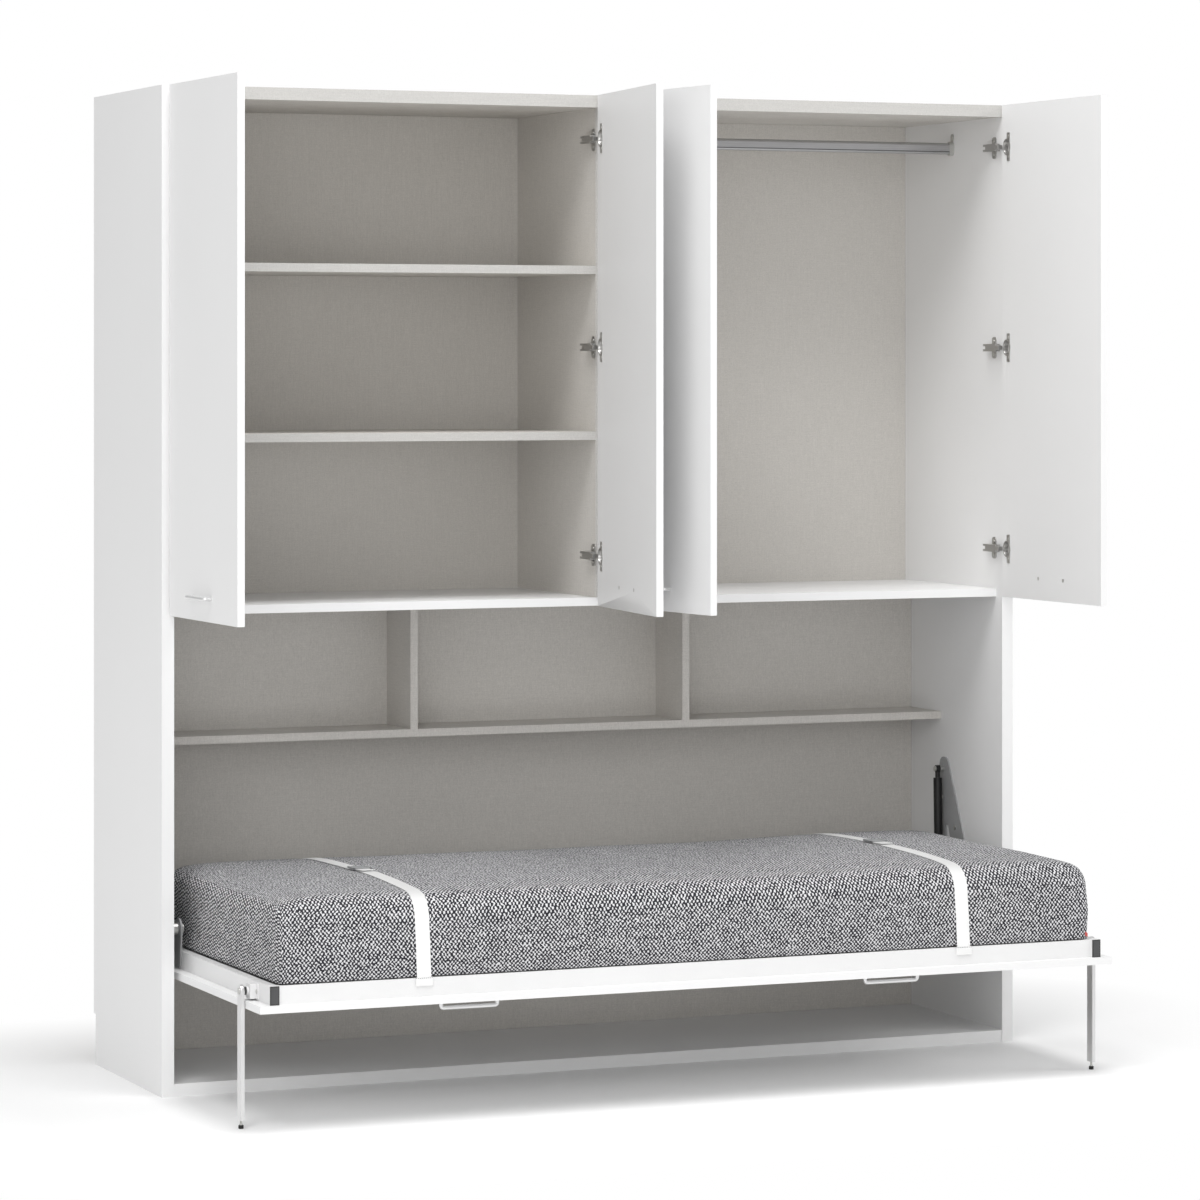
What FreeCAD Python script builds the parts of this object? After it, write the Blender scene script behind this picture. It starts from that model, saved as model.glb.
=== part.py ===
import FreeCAD, Part
import math
import os

# Cabinet bed: a wardrobe carcass with four doors above and a single bed that folds down below.
# Lengths are in millimetres. X is zero on the centre plane, Z is zero on the floor, and the pieces
# are drawn with Y = 0 on the carcass's front plane (Y grows into the cabinet). On export they move
# by half the depth, so that the origin is the centre of the carcass's footprint on the floor.

os.makedirs("parts", exist_ok=True)
Vec = FreeCAD.Vector

# --- carcass -------------------------------------------------------------------------------------
WIDTH = 2084.0
HEIGHT = 2240.0
DEPTH = 580.0
CASE_T = 28.0                 # sides, top and base
SHELF_T = 19.0                # middle shelf, partition and wardrobe shelves
NICHE_T = 18.0                # niche shelf and its dividers
LOWER_BACK_T = 18.0
UPPER_BACK_T = 10.0
UPPER_BACK_INSET = 6.0        # from the carcass's rear plane
LOWER_BACK_INSET = 35.0
BASE_SETBACK = 2.0
MIDDLE_Z = 1064.0             # underside of the middle shelf
MIDDLE_SETBACK = 34.0
SHELF_SETBACK = 30.0
NICHE_Z = 750.0               # underside of the niche shelf
NICHE_DEPTH = 176.0
NICHE_BAYS = 3
WARDROBE_BAYS = 3
SKIRTING_DEPTH = 18.0         # notch at the lower rear of the sides, for the room's skirting
SKIRTING_HEIGHT = 117.0
DOWEL_R = 4.0
DOWEL_DEPTH_CASE = 14.0
DOWEL_DEPTH_BOARD = 22.0
DOWEL_CLEARANCE = 0.05
DOWEL_INSET = 60.0            # first dowel from a board's front and rear edge
DEEP_BOARD_DOWEL_COUNT = 3
NARROW_BOARD_DOWEL_COUNT = 2
SHELF_DOWEL_COUNT = 2

# --- hanging rail --------------------------------------------------------------------------------
RAIL_TALL = 28.0
RAIL_WIDE = 14.0
RAIL_DROP = 65.0              # top panel's underside to the rail's centre
RAIL_Y = 282.0
BRACKET_T = 3.0
BRACKET_TAB = 22.0
BRACKET_CUP = 9.0             # how far the cup reaches along the rail
BRACKET_WALL = 2.5
RAIL_CLEARANCE = 0.3

# --- doors and their hinges ----------------------------------------------------------------------
DOOR_T = 16.0
DOOR_GAP = 3.0                # between neighbouring doors
DOOR_SIDE_REVEAL = 14.0       # the outer side panels' edge that stays uncovered
DOOR_BOTTOM_GAP = 1.5         # above the middle shelf's underside
DOOR_FACE_GAP = 2.5           # closed door to the carcass's front plane
HINGE_FROM_EDGE = 6.8         # pivot line from the door's hinge edge
HINGE_FROM_FACE = 5.3         # pivot line from the door's outer face
HINGE_TOP_DROP = 100.5
HINGE_BOTTOM_RISE = 115.0
HINGE_UPPER_MIDDLE = 579.5    # middle hinge's drop below the carcass's top
CUP_FROM_EDGE = 26.0
CUP_R = 17.5
CUP_POCKET_R = 16.3
CUP_DEPTH = 11.5
CUP_FLOOR = 0.5
CUP_FIT = 0.05
FLANGE_T = 1.2
FLANGE_TALL = 68.0
FLANGE_WING = (1.5, 17.0)     # the screw wing's reach beyond the cup's centre
FLANGE_CORNER = 2.5
FLANGE_RIM = 2.0
CUP_SCREW_SPACING = 48.0
CUP_SCREW_OFFSET = 9.5
ARM_TALL = 17.6
NOSE_TALL = 10.0
NOSE_FROM_PIVOT = 12.6        # clears the flange as the cup turns past it
NOSE_WIDE = 12.0
NOSE_FLOOR_GAP = 0.5          # nose to the cup's floor, door closed
ARM_FRONT_Y = 2.0
ARM_REAR_Y = 72.0
ARM_SLOT_Y = 60.0
ARM_SLOT_TALL = 7.0
PLATE_T = 2.0
PLATE_TALL = 51.5
PLATE_FRONT_Y = 30.0
PLATE_REAR_Y = 54.0
PLATE_CORNER_R = 8.0
PLATE_SCREW_SPACING = 32.0
OPEN_ANGLES = (89.5, 84.0, 84.0, 91.0)   # how far each door stands open in the rest pose
SCREW_R = 2.0
SCREW_HEAD_R = 3.8
SCREW_HEAD_T = 1.5
CUP_SCREW_HEAD_T = 0.75
HINGE_SCREW_LENGTH = 9.0
SCREW_FIT = 0.05

# --- handles -------------------------------------------------------------------------------------
HANDLE_SPACING = 128.0
DOOR_HANDLE_R = 4.0
DOOR_HANDLE_REACH = 22.0
DOOR_HANDLE_RISE = 50.5       # above the door's lower edge
DOOR_HANDLE_CORNER = 6.0
BED_HANDLE_R = 4.4
BED_HANDLE_REACH = 29.0
BED_HANDLE_CORNER = 6.0
BED_HANDLE_FROM_END = 501.0   # handle's middle to the bed panel's end
BED_HANDLE_Y = -500.0
HANDLE_SCREW_R = 2.0
HANDLE_SCREW_DEPTH = 9.0
HANDLE_SCREW_HEAD_R = 4.5
HANDLE_SCREW_HEAD_T = 2.5

# --- bed: panel, frame and mattress (lying open) ---------------------------------------------------
PIVOT_Y = 88.5
PIVOT_Z = 361.5
BED_PANEL_T = 16.0
BED_PANEL_Z = 256.0
BED_PANEL_FRONT = -612.5
BED_PANEL_REAR = 399.0
BED_SIDE_GAP = 13.0           # panel's end to the side panel's inner face
TUBE_WIDE = 20.0
TUBE_TALL = 40.0
TUBE_WALL = 1.5
FRAME_OUTER_INSET = 38.0      # side rail's outer face from the side panel's inner face
FRAME_FRONT = -600.0
LONG_RAIL_INSET = 3.0          # long rails behind the side rails' ends
END_CAP_T = 3.0
END_CAP_PLUG = 15.0
END_CAP_FIT = 0.1
SLAT_COUNT = 15
SLAT_WIDE = 60.0
SLAT_T = 8.0
SLAT_HOLDER_DEEP = 14.0
SLAT_HOLDER_WALL = 3.0
SLAT_FIT = 0.3
CENTRE_BAR_WIDE = 20.0
MATTRESS_END_GAP = 26.0       # side rail's outer face to the mattress's end
MATTRESS_WIDTH = 900.0
MATTRESS_T = 186.4            # at the crown's middle
MATTRESS_EDGE_T = 174.7       # where the crown meets the rounded edge
MATTRESS_SIDE_T = 107.7       # where the rounded edge meets the side
MATTRESS_CORNER_T = 151.0     # middle of the rounded edge
MATTRESS_FOOT_IN = 5.0        # how far each height of the side lies inside the full width
MATTRESS_BELLY_IN = 4.0
MATTRESS_SIDE_IN = 12.0
MATTRESS_CORNER_IN = 26.0
MATTRESS_EDGE_IN = 70.0
MATTRESS_END_LONG = 130.0     # rounded length of each end
MATTRESS_END_STEPS = 9
MATTRESS_END_IN = 22.0        # at the end's face: drawn in, dropped and lifted by
MATTRESS_END_DROP = 56.0
MATTRESS_END_LIFT = 26.0
MATTRESS_END_IN_POWER = 4     # how late the drawing in and the lifting start
MATTRESS_END_LIFT_POWER = 6
MATTRESS_CORNER_BULGE = 3.0   # corners stand out this far beside the drawn-in sides
STRAP_WIDE = 32.0
STRAP_T = 2.0
STRAP_FROM_END = 315.0        # strap's middle to the mattress's end
STRAP_END_DROP = 14.0         # strap's end below the frame's top
STRAP_HEM = 34.0              # doubled part above the frame's top
BUCKLE_WIDE = 42.0
BUCKLE_LONG = 46.0
BUCKLE_T = 6.0
BUCKLE_BAR = 6.0
BUCKLE_Y = (-150.0, -105.0)   # left strap's buckle, right strap's buckle

# --- legs ----------------------------------------------------------------------------------------
LEG_T = 8.0
LEG_WIDE = 27.0
LEG_SIDE_GAP = 3.0            # leg's outer face to the side panel's inner face
LEG_Y = -493.0
LEG_PIVOT_Z = 292.0
FOOT_R = 5.5
FOOT_TALL = 9.0
FOOT_GAP = 9.0                # pad's top to the leg's lower end
FOOT_THREAD_R = 2.5
FOOT_THREAD_IN = 28.0
FOOT_THREAD_CLEAR = 3.0       # hole beyond the stem's end
THREAD_FIT = 0.05
LEG_BOLT_R = 4.0
LEG_BOLT_HEAD_R = 7.0
LEG_BOLT_HEAD_T = 2.0
RUNNING_FIT = 0.05
LEG_BRACKET_LONG = 34.0
LEG_BRACKET_TALL = 32.0
LEG_BRACKET_DEEP = 16.0
LEG_BRACKET_FLANGE = 3.0
LEG_BRACKET_FLANGE_LONG = 58.0
LEG_BOSS_R = 9.0
LEG_BOSS_T = 4.0
SPRING_R = 8.25
SPRING_WIRE_R = 0.75
SPRING_TURNS = 2.5
SPRING_SEAT = 0.3

# --- bed pivot and gas struts ----------------------------------------------------------------------
WALL_PLATE_T = 4.0
WALL_PLATE_REAR = 351.0
WALL_PLATE_FOOT = 300.0
WALL_PLATE_TOP = 658.0
WALL_PLATE_SLOPE = 0.515      # how the front edge leans back, in Y for each unit of height
WALL_PLATE_EDGE = (305.4, 653.6)
WALL_PLATE_CORNERS = (28.0, 21.0, 12.0, 20.0, 12.0, 28.0, 30.0)
STRIP_SCREW_ZS = (440.0, 560.0)
SLOPE_SCREW_ZS = (400.0, 490.0)
FOOT_SCREW_BEHIND = 60.0      # lower front screw behind the pivot and above the foot's middle
FOOT_SCREW_RISE = 10.0
WINDOW_REAR = 313.0
WINDOW_FOOT = 330.0
WINDOW_TOP = 519.0
WINDOW_SLOPE = 0.436
WINDOW_CORNER_R = 6.0
PIVOT_R = 7.0
PIVOT_HEAD_R = 11.0
PIVOT_HEAD_T = 3.0
PIVOT_COLLAR_R = 13.0
PIVOT_LOBE = 30.0
BUSH_WALL = 3.0
BUSH_FLANGE_R = 14.0
BUSH_FLANGE_T = 2.5
BUSH_INNER = 3.0              # how far the bush stands out on the arm's inner side
ARM_PLATE_T = 4.0
ARM_LOBE_R = 23.0
ARM_FRONT = (84.0, 285.0)
ARM_FRONT_R = 10.0
ARM_BOLT_COUNT = 3
ARM_BOLT_INSET = 20.0         # first bolt to the side rail's rear end
ARM_BOLT_STEP = 75.0
STRUT_INSET = 19.0            # strut's axis from the side panel's inner face
STRUT_TOP = (330.0, 629.0)
STRUT_FOOT = (320.0, 285.0)
STRUT_FOOT_R = 11.0
STRUT_BODY_R = 10.5
STRUT_BORE_R = 9.0
STRUT_ROD_R = 4.0
STRUT_PISTON_T = 12.0
STRUT_HEAD = 22.0             # top eye's centre to the cylinder's shoulder
STRUT_TAIL = 30.0             # cylinder's lower end to the lower eye's centre, at rest
STRUT_CAP_T = 4.0
STRUT_GUIDE_T = 14.0
STRUT_EYE_R = 9.0
STRUT_EYE_T = 10.0
STRUT_NECK_R = 6.0
STRUT_NECK_GAP = 10.0
STUD_R = 4.0
STUD_COLLAR_R = 7.0
STUD_CLIP_R = 6.5
STUD_CLIP_T = 3.0
STUD_GAP = 0.5
PLATE_SCREW_R = 2.2
PLATE_SCREW_HEAD_R = 5.0
PLATE_SCREW_HEAD_T = 2.5
PLATE_SCREW_IN = 16.0
FRAME_SCREW_IN = 12.0
FRAME_RAIL_SCREW_COUNT = 4
FRAME_SCREW_INSET = 80.0      # first screw to the rail's end
SEAT_GAP = 0.3                # a piece to what it lies or runs on
EPS = 0.01

# --- places worked out from the sizes above --------------------------------------------------------
IN_X = WIDTH / 2 - CASE_T                       # inner face of the side panels
TOP_Z = HEIGHT - CASE_T                         # underside of the top panel
SHELF_TOP = MIDDLE_Z + SHELF_T                  # top of the middle shelf
UPPER_BACK_Y = DEPTH - UPPER_BACK_INSET - UPPER_BACK_T
LOWER_BACK_REAR = DEPTH - LOWER_BACK_INSET
LOWER_BACK_Y = LOWER_BACK_REAR - LOWER_BACK_T
NICHE_Y = LOWER_BACK_Y - NICHE_DEPTH
HALF_BOARD = SHELF_T / 2
DOOR_SPAN = WIDTH - 2 * DOOR_SIDE_REVEAL - 3 * DOOR_GAP
DOOR_W = DOOR_SPAN / 4
DOOR_Z = MIDDLE_Z + DOOR_BOTTOM_GAP
HINGE_Y = -DOOR_FACE_GAP - DOOR_T + HINGE_FROM_FACE
HINGE_ZS = (HEIGHT - HINGE_TOP_DROP, HEIGHT - HINGE_UPPER_MIDDLE, DOOR_Z + HINGE_BOTTOM_RISE)
BED_HALF = IN_X - BED_SIDE_GAP
BED_HANDLE_X = BED_HALF - BED_HANDLE_FROM_END
BED_TOP = BED_PANEL_Z + BED_PANEL_T
FRAME_TOP = BED_TOP + TUBE_TALL
FRAME_OUT = IN_X - FRAME_OUTER_INSET            # outer face of the side rails
FRAME_IN = FRAME_OUT - TUBE_WIDE
FRAME_REAR = FRAME_FRONT + MATTRESS_WIDTH        # the frame is as deep as the mattress is wide
RAIL_FRONT = FRAME_FRONT + LONG_RAIL_INSET      # front face of the front rail
RAIL_REAR = FRAME_REAR - LONG_RAIL_INSET        # rear face of the rear rail
MATTRESS_Z = FRAME_TOP + SEAT_GAP
MATTRESS_HALF = FRAME_OUT - MATTRESS_END_GAP    # half the mattress's length
STRAP_X = MATTRESS_HALF - STRAP_FROM_END
MATTRESS_MID_Y = (FRAME_FRONT + FRAME_REAR) / 2
LEG_X = IN_X - LEG_SIDE_GAP - LEG_T / 2
LEG_FOOT_Z = FOOT_TALL + FOOT_GAP
STRUT_X = IN_X - STRUT_INSET


# --- small geometry helpers ------------------------------------------------------------------------
def block(x0, x1, y0, y1, z0, z1):
    """A box between two opposite corners."""
    return Part.makeBox(x1 - x0, y1 - y0, z1 - z0, Vec(x0, y0, z0))


def bar(start, end, radius):
    """A round bar from one point to another."""
    return Part.makeCylinder(radius, (end - start).Length, start, end - start)


def bar_x(x0, x1, y, z, radius):
    """A round bar along X."""
    return bar(Vec(min(x0, x1), y, z), Vec(max(x0, x1), y, z), radius)


def group(shapes):
    """Separate solids that share one node."""
    return Part.makeCompound(shapes)


def other_side(shape):
    """The same piece on the other side of the centre plane."""
    return shape.mirror(Vec(0, 0, 0), Vec(1, 0, 0))


def both_sides(shapes):
    """Pieces of the right-hand side with their left-hand twins."""
    return group([other_side(shape) for shape in shapes] + shapes)


def rounded_wire(points, radii):
    """A closed outline through points, each corner rounded with its own radius."""
    count = len(points)
    starts = []
    arcs = []
    for i in range(count):
        corner = points[i]
        back = (points[i - 1] - corner).normalize()
        ahead = (points[(i + 1) % count] - corner).normalize()
        half = back.getAngle(ahead) / 2
        reach = radii[i] / math.tan(half)
        first = corner + back * reach
        last = corner + ahead * reach
        centre = corner + (back + ahead).normalize() * (radii[i] / math.sin(half))
        middle = centre + (corner - centre).normalize() * radii[i]
        arcs.append(Part.Arc(first, middle, last).toShape())
        starts.append((first, last))
    edges = []
    for i in range(count):
        edges.append(arcs[i])
        ahead_start = starts[(i + 1) % count][0]
        if (ahead_start - starts[i][1]).Length > EPS:
            edges.append(Part.makeLine(starts[i][1], ahead_start))
    return Part.Wire(edges)


def plate_x(outline, radii, x0, x1):
    """A flat plate across X, from an outline of (y, z) corners with rounded corners."""
    points = [Vec(x0, y, z) for y, z in outline]
    face = Part.Face(rounded_wire(points, radii))
    return face.extrude(Vec(x1 - x0, 0, 0))


def hull_plate(circles, x0, x1):
    """A flat plate across X, whose outline wraps circles given as ((y, z), radius)."""
    plate = None
    for i in range(len(circles)):
        (ya, za), ra = circles[i]
        (yb, zb), rb = circles[(i + 1) % len(circles)]
        disc = bar_x(x0, x1, ya, za, ra)
        plate = disc if plate is None else plate.fuse(disc)
        run = Vec(0, yb - ya, zb - za)
        turn = math.asin((ra - rb) / run.Length)
        along = run.normalize()
        across = Vec(0, along.z, -along.y)
        normal = across * math.cos(turn) + along * math.sin(turn)
        a, b = Vec(x0, ya, za), Vec(x0, yb, zb)
        web = Part.makePolygon([a, a + normal * ra, b + normal * rb, b, a])
        plate = plate.fuse(Part.Face(web).extrude(Vec(x1 - x0, 0, 0)))
    inner = Part.makePolygon([Vec(x0, y, z) for (y, z), _ in circles + circles[:1]])
    plate = plate.fuse(Part.Face(inner).extrude(Vec(x1 - x0, 0, 0)))
    return plate.removeSplitter()


def tube_x(x0, x1, y0, y1, z0, z1, wall):
    """A rectangular tube along X, open at both ends."""
    outer = block(x0, x1, y0, y1, z0, z1)
    return outer.cut(block(x0, x1, y0 + wall, y1 - wall, z0 + wall, z1 - wall))


def tube_y(x0, x1, y0, y1, z0, z1, wall):
    """A rectangular tube along Y, open at both ends."""
    outer = block(x0, x1, y0, y1, z0, z1)
    return outer.cut(block(x0 + wall, x1 - wall, y0, y1, z0 + wall, z1 - wall))


def screw(tip, head, radius, head_radius, head_thickness):
    """A screw with its shank from tip to head and a flat head standing on that point."""
    out = (head - tip).normalize()
    return bar(tip, head, radius).fuse(bar(head, head + out * head_thickness, head_radius))


def save(name, shape):
    """Moves a finished node to the exported frame and writes it."""
    placed = shape.translated(Vec(0, -DEPTH / 2, 0))
    placed.exportStep(f"parts/{name}.step")


# --- carcass -------------------------------------------------------------------------------------
def board_dowels(x_joint, y0, y1, z, count):
    """Dowel lines of one board's end: (start, end) from the board, through the joint."""
    lines = []
    sign = 1 if x_joint > 0 else -1
    for i in range(count):
        y = y0 + DOWEL_INSET + i * (y1 - y0 - 2 * DOWEL_INSET) / (count - 1)
        inner = x_joint - sign * DOWEL_DEPTH_BOARD
        outer = x_joint + sign * DOWEL_DEPTH_CASE
        lines.append((Vec(inner, y, z), Vec(outer, y, z)))
    return lines


def upright_dowels(x, z_joint, up_depth, down_depth, y0, y1, count):
    """Dowel lines that stand up through a joint under or over an upright board."""
    lines = []
    for i in range(count):
        y = y0 + DOWEL_INSET + i * (y1 - y0 - 2 * DOWEL_INSET) / (count - 1)
        lines.append((Vec(x, y, z_joint - down_depth), Vec(x, y, z_joint + up_depth)))
    return lines


def drill(shape, lines):
    """Holes for the dowels that pass a board."""
    for start, end in lines:
        shape = shape.cut(bar(start, end, DOWEL_R + DOWEL_CLEARANCE))
    return shape


def wardrobe_shelf_zs():
    """Undersides of the shelves that split the left compartment into equal bays."""
    shelves = WARDROBE_BAYS - 1
    bay = (TOP_Z - SHELF_TOP - shelves * SHELF_T) / WARDROBE_BAYS
    return [SHELF_TOP + bay + i * (bay + SHELF_T) for i in range(shelves)]


def niche_divider_xs():
    """Centres of the dividers that split the niche into equal bays."""
    dividers = NICHE_BAYS - 1
    bay = (2 * IN_X - dividers * NICHE_T) / NICHE_BAYS
    return [-IN_X + bay + NICHE_T / 2 + i * (bay + NICHE_T) for i in range(dividers)]


def carcass_dowel_lines():
    """Every dowel of the carcass as a (start, end) line, sorted by the joint it holds."""
    lines = {"case": [], "middle": [], "partition": [], "shelf": [], "niche": [], "divider": []}
    deep = DEEP_BOARD_DOWEL_COUNT
    narrow = NARROW_BOARD_DOWEL_COUNT
    for x in (-IN_X, IN_X):
        top = TOP_Z + CASE_T / 2
        middle = MIDDLE_Z + SHELF_T / 2
        niche = NICHE_Z + NICHE_T / 2
        lines["case"] += board_dowels(x, 0, UPPER_BACK_Y, top, deep)
        lines["case"] += board_dowels(x, BASE_SETBACK, LOWER_BACK_Y, CASE_T / 2, deep)
        lines["middle"] += board_dowels(x, MIDDLE_SETBACK, UPPER_BACK_Y, middle, deep)
        lines["niche"] += board_dowels(x, NICHE_Y, LOWER_BACK_Y, niche, narrow)
    for z in wardrobe_shelf_zs():
        centre = z + SHELF_T / 2
        outer = board_dowels(-IN_X, SHELF_SETBACK, UPPER_BACK_Y, centre, SHELF_DOWEL_COUNT)
        lines["shelf"] += outer
        for start, _ in outer:
            inner = Vec(-HALF_BOARD - DOWEL_DEPTH_BOARD, start.y, centre)
            lines["shelf"].append((inner, Vec(0, start.y, centre)))
    for joint, up, down in ((SHELF_TOP, DOWEL_DEPTH_BOARD, HALF_BOARD),
                            (TOP_Z, DOWEL_DEPTH_CASE, DOWEL_DEPTH_BOARD)):
        lines["partition"] += upright_dowels(0, joint, up, down, SHELF_SETBACK, UPPER_BACK_Y, deep)
    for x in niche_divider_xs():
        for joint, up, down in ((NICHE_Z + NICHE_T, DOWEL_DEPTH_BOARD, NICHE_T / 2),
                                (MIDDLE_Z, HALF_BOARD, DOWEL_DEPTH_BOARD)):
            lines["divider"] += upright_dowels(x, joint, up, down, NICHE_Y, LOWER_BACK_Y, narrow)
    return lines


def side_panel(sign, lines, screw_lines):
    """One outer side with its skirting notch, dowel holes and pilot holes."""
    inner, outer = sorted((sign * IN_X, sign * WIDTH / 2))
    panel = block(inner, outer, 0, DEPTH, 0, HEIGHT)
    notch = block(inner, outer, DEPTH - SKIRTING_DEPTH, DEPTH, 0, SKIRTING_HEIGHT)
    panel = panel.cut(notch)
    mine = [line for key in ("case", "middle", "niche", "shelf") for line in lines[key]
            if abs(line[1].x) > IN_X and line[1].x * sign > 0]
    panel = drill(panel, mine)
    for start, end, radius in screw_lines:
        if start.x * sign > IN_X or end.x * sign > IN_X:
            panel = panel.cut(bar(start, end, radius + SCREW_FIT))
    return panel


def carcass(lines, screw_lines):
    """All boards of the cabinet, by node name."""
    cross = lines["case"]
    boards = {
        "left_side_panel": side_panel(-1, lines, screw_lines),
        "right_side_panel": side_panel(1, lines, screw_lines),
    }
    top = block(-IN_X, IN_X, 0, DEPTH, TOP_Z, HEIGHT)
    boards["top_panel"] = drill(top, cross + lines["partition"])
    base = block(-IN_X, IN_X, BASE_SETBACK, LOWER_BACK_REAR, 0, CASE_T)
    boards["base_panel"] = drill(base, cross)
    middle = block(-IN_X, IN_X, MIDDLE_SETBACK, UPPER_BACK_Y, MIDDLE_Z, SHELF_TOP)
    boards["middle_shelf"] = drill(middle, lines["middle"] + lines["partition"] + lines["divider"])
    upright = block(-HALF_BOARD, HALF_BOARD, SHELF_SETBACK, UPPER_BACK_Y, SHELF_TOP, TOP_Z)
    upright = drill(upright, lines["partition"])
    for start, end in lines["shelf"]:
        if end.x > -HALF_BOARD - EPS:
            upright = upright.cut(bar(start, end, DOWEL_R + DOWEL_CLEARANCE))
    for start, end, radius in screw_lines:
        if abs(start.x) < HALF_BOARD or abs(end.x) < HALF_BOARD:
            upright = upright.cut(bar(start, end, radius + SCREW_FIT))
    boards["centre_partition"] = upright
    back_top = UPPER_BACK_Y + UPPER_BACK_T
    boards["upper_back_panels"] = group([
        block(-IN_X, 0, UPPER_BACK_Y, back_top, MIDDLE_Z, TOP_Z),
        block(0, IN_X, UPPER_BACK_Y, back_top, MIDDLE_Z, TOP_Z),
    ])
    boards["lower_back_panel"] = block(-IN_X, IN_X, LOWER_BACK_Y, LOWER_BACK_REAR, CASE_T, MIDDLE_Z)
    shelves = []
    for z in wardrobe_shelf_zs():
        shelf = block(-IN_X, -HALF_BOARD, SHELF_SETBACK, UPPER_BACK_Y, z, z + SHELF_T)
        shelves.append(drill(shelf, lines["shelf"]))
    boards["wardrobe_shelves"] = group(shelves)
    niche_top = NICHE_Z + NICHE_T
    niche = block(-IN_X, IN_X, NICHE_Y, LOWER_BACK_Y, NICHE_Z, niche_top)
    boards["niche_shelf"] = drill(niche, lines["niche"] + lines["divider"])
    dividers = []
    for x in niche_divider_xs():
        half = NICHE_T / 2
        divider = block(x - half, x + half, NICHE_Y, LOWER_BACK_Y, niche_top, MIDDLE_Z)
        dividers.append(drill(divider, lines["divider"]))
    boards["niche_dividers"] = group(dividers)
    dowels = [bar(start, end, DOWEL_R) for key in lines for start, end in lines[key]]
    boards["carcass_dowels"] = group(dowels)
    return boards


# --- hanging rail --------------------------------------------------------------------------------
def oval_x(x0, x1, y, z, wide, tall):
    """An upright oval bar along X."""
    radius = wide / 2
    flat = tall / 2 - radius
    body = block(x0, x1, y - radius, y + radius, z - flat, z + flat)
    for end in (-flat, flat):
        body = body.fuse(bar_x(x0, x1, y, z + end, radius))
    return body.removeSplitter()


def hanging_rail():
    """The oval rail and the two brackets that hold its ends."""
    z = TOP_Z - RAIL_DROP
    end_gap = BRACKET_T + RAIL_CLEARANCE
    x0 = HALF_BOARD + end_gap
    x1 = IN_X - end_gap
    outer = oval_x(x0, x1, RAIL_Y, z, RAIL_WIDE, RAIL_TALL)
    inside = 2 * BRACKET_WALL
    rail = outer.cut(oval_x(x0, x1, RAIL_Y, z, RAIL_WIDE - inside, RAIL_TALL - inside))
    brackets = []
    for wall, step in ((HALF_BOARD, 1), (IN_X, -1)):
        plate_ends = sorted((wall, wall + step * BRACKET_T))
        cup_ends = sorted((wall, wall + step * (BRACKET_T + BRACKET_CUP)))
        hollow_ends = sorted((wall + step * BRACKET_T, wall + step * (BRACKET_T + BRACKET_CUP)))
        gap = 2 * RAIL_CLEARANCE
        wide = RAIL_WIDE + gap
        tall = RAIL_TALL + gap
        around = 2 * BRACKET_WALL
        cup = oval_x(cup_ends[0], cup_ends[1], RAIL_Y, z, wide + around, tall + around)
        cup = cup.cut(oval_x(hollow_ends[0], hollow_ends[1], RAIL_Y, z, wide, tall))
        tab_z = z + RAIL_TALL / 2
        tab = oval_x(plate_ends[0], plate_ends[1], RAIL_Y, tab_z, RAIL_WIDE, 2 * BRACKET_TAB)
        tab = tab.cut(oval_x(hollow_ends[0], hollow_ends[1], RAIL_Y, z, wide, tall))
        bracket = cup.fuse(tab)
        start, end, radius = rail_screw_line(wall, step)
        brackets.append(bracket.cut(bar(start, end, radius + SCREW_FIT)).removeSplitter())
    return rail, group(brackets)


def rail_screw_line(wall, step):
    """The screw of one rail bracket, from its tip in the wall to its head."""
    z = TOP_Z - RAIL_DROP + RAIL_TALL / 2 + BRACKET_TAB - RAIL_WIDE / 2
    tip = wall - step * (HINGE_SCREW_LENGTH - BRACKET_T)
    return Vec(tip, RAIL_Y, z), Vec(wall + step * BRACKET_T, RAIL_Y, z), SCREW_R


# --- doors, hinges and handles -------------------------------------------------------------------
class DoorPlace:
    """Where one door hangs: its hinge edge, the way it reaches when closed, and its carrier."""

    def __init__(self, number):
        self.number = number
        self.reach = 1 if number % 2 == 1 else -1
        left = -WIDTH / 2 + DOOR_SIDE_REVEAL + (number - 1) * (DOOR_W + DOOR_GAP)
        self.edge = left if self.reach == 1 else left + DOOR_W
        self.axis_x = self.edge + self.reach * HINGE_FROM_EDGE
        outer_door = number in (1, 4)
        self.wall = -self.reach * IN_X if outer_door else self.reach * HALF_BOARD
        self.angle = OPEN_ANGLES[number - 1]

    def span(self, near, far):
        """Two distances from the hinge edge as low and high X."""
        return sorted((self.edge + self.reach * near, self.edge + self.reach * far))

    def opened(self, shape):
        """Turns a shape drawn on the closed door to where the door stands open."""
        turned = shape.copy()
        turned.rotate(Vec(self.axis_x, HINGE_Y, 0), Vec(0, 0, 1), -self.reach * self.angle)
        return turned


DOORS = [DoorPlace(number) for number in (1, 2, 3, 4)]
DOOR_OUT_Y = -DOOR_FACE_GAP - DOOR_T
DOOR_IN_Y = -DOOR_FACE_GAP


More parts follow.
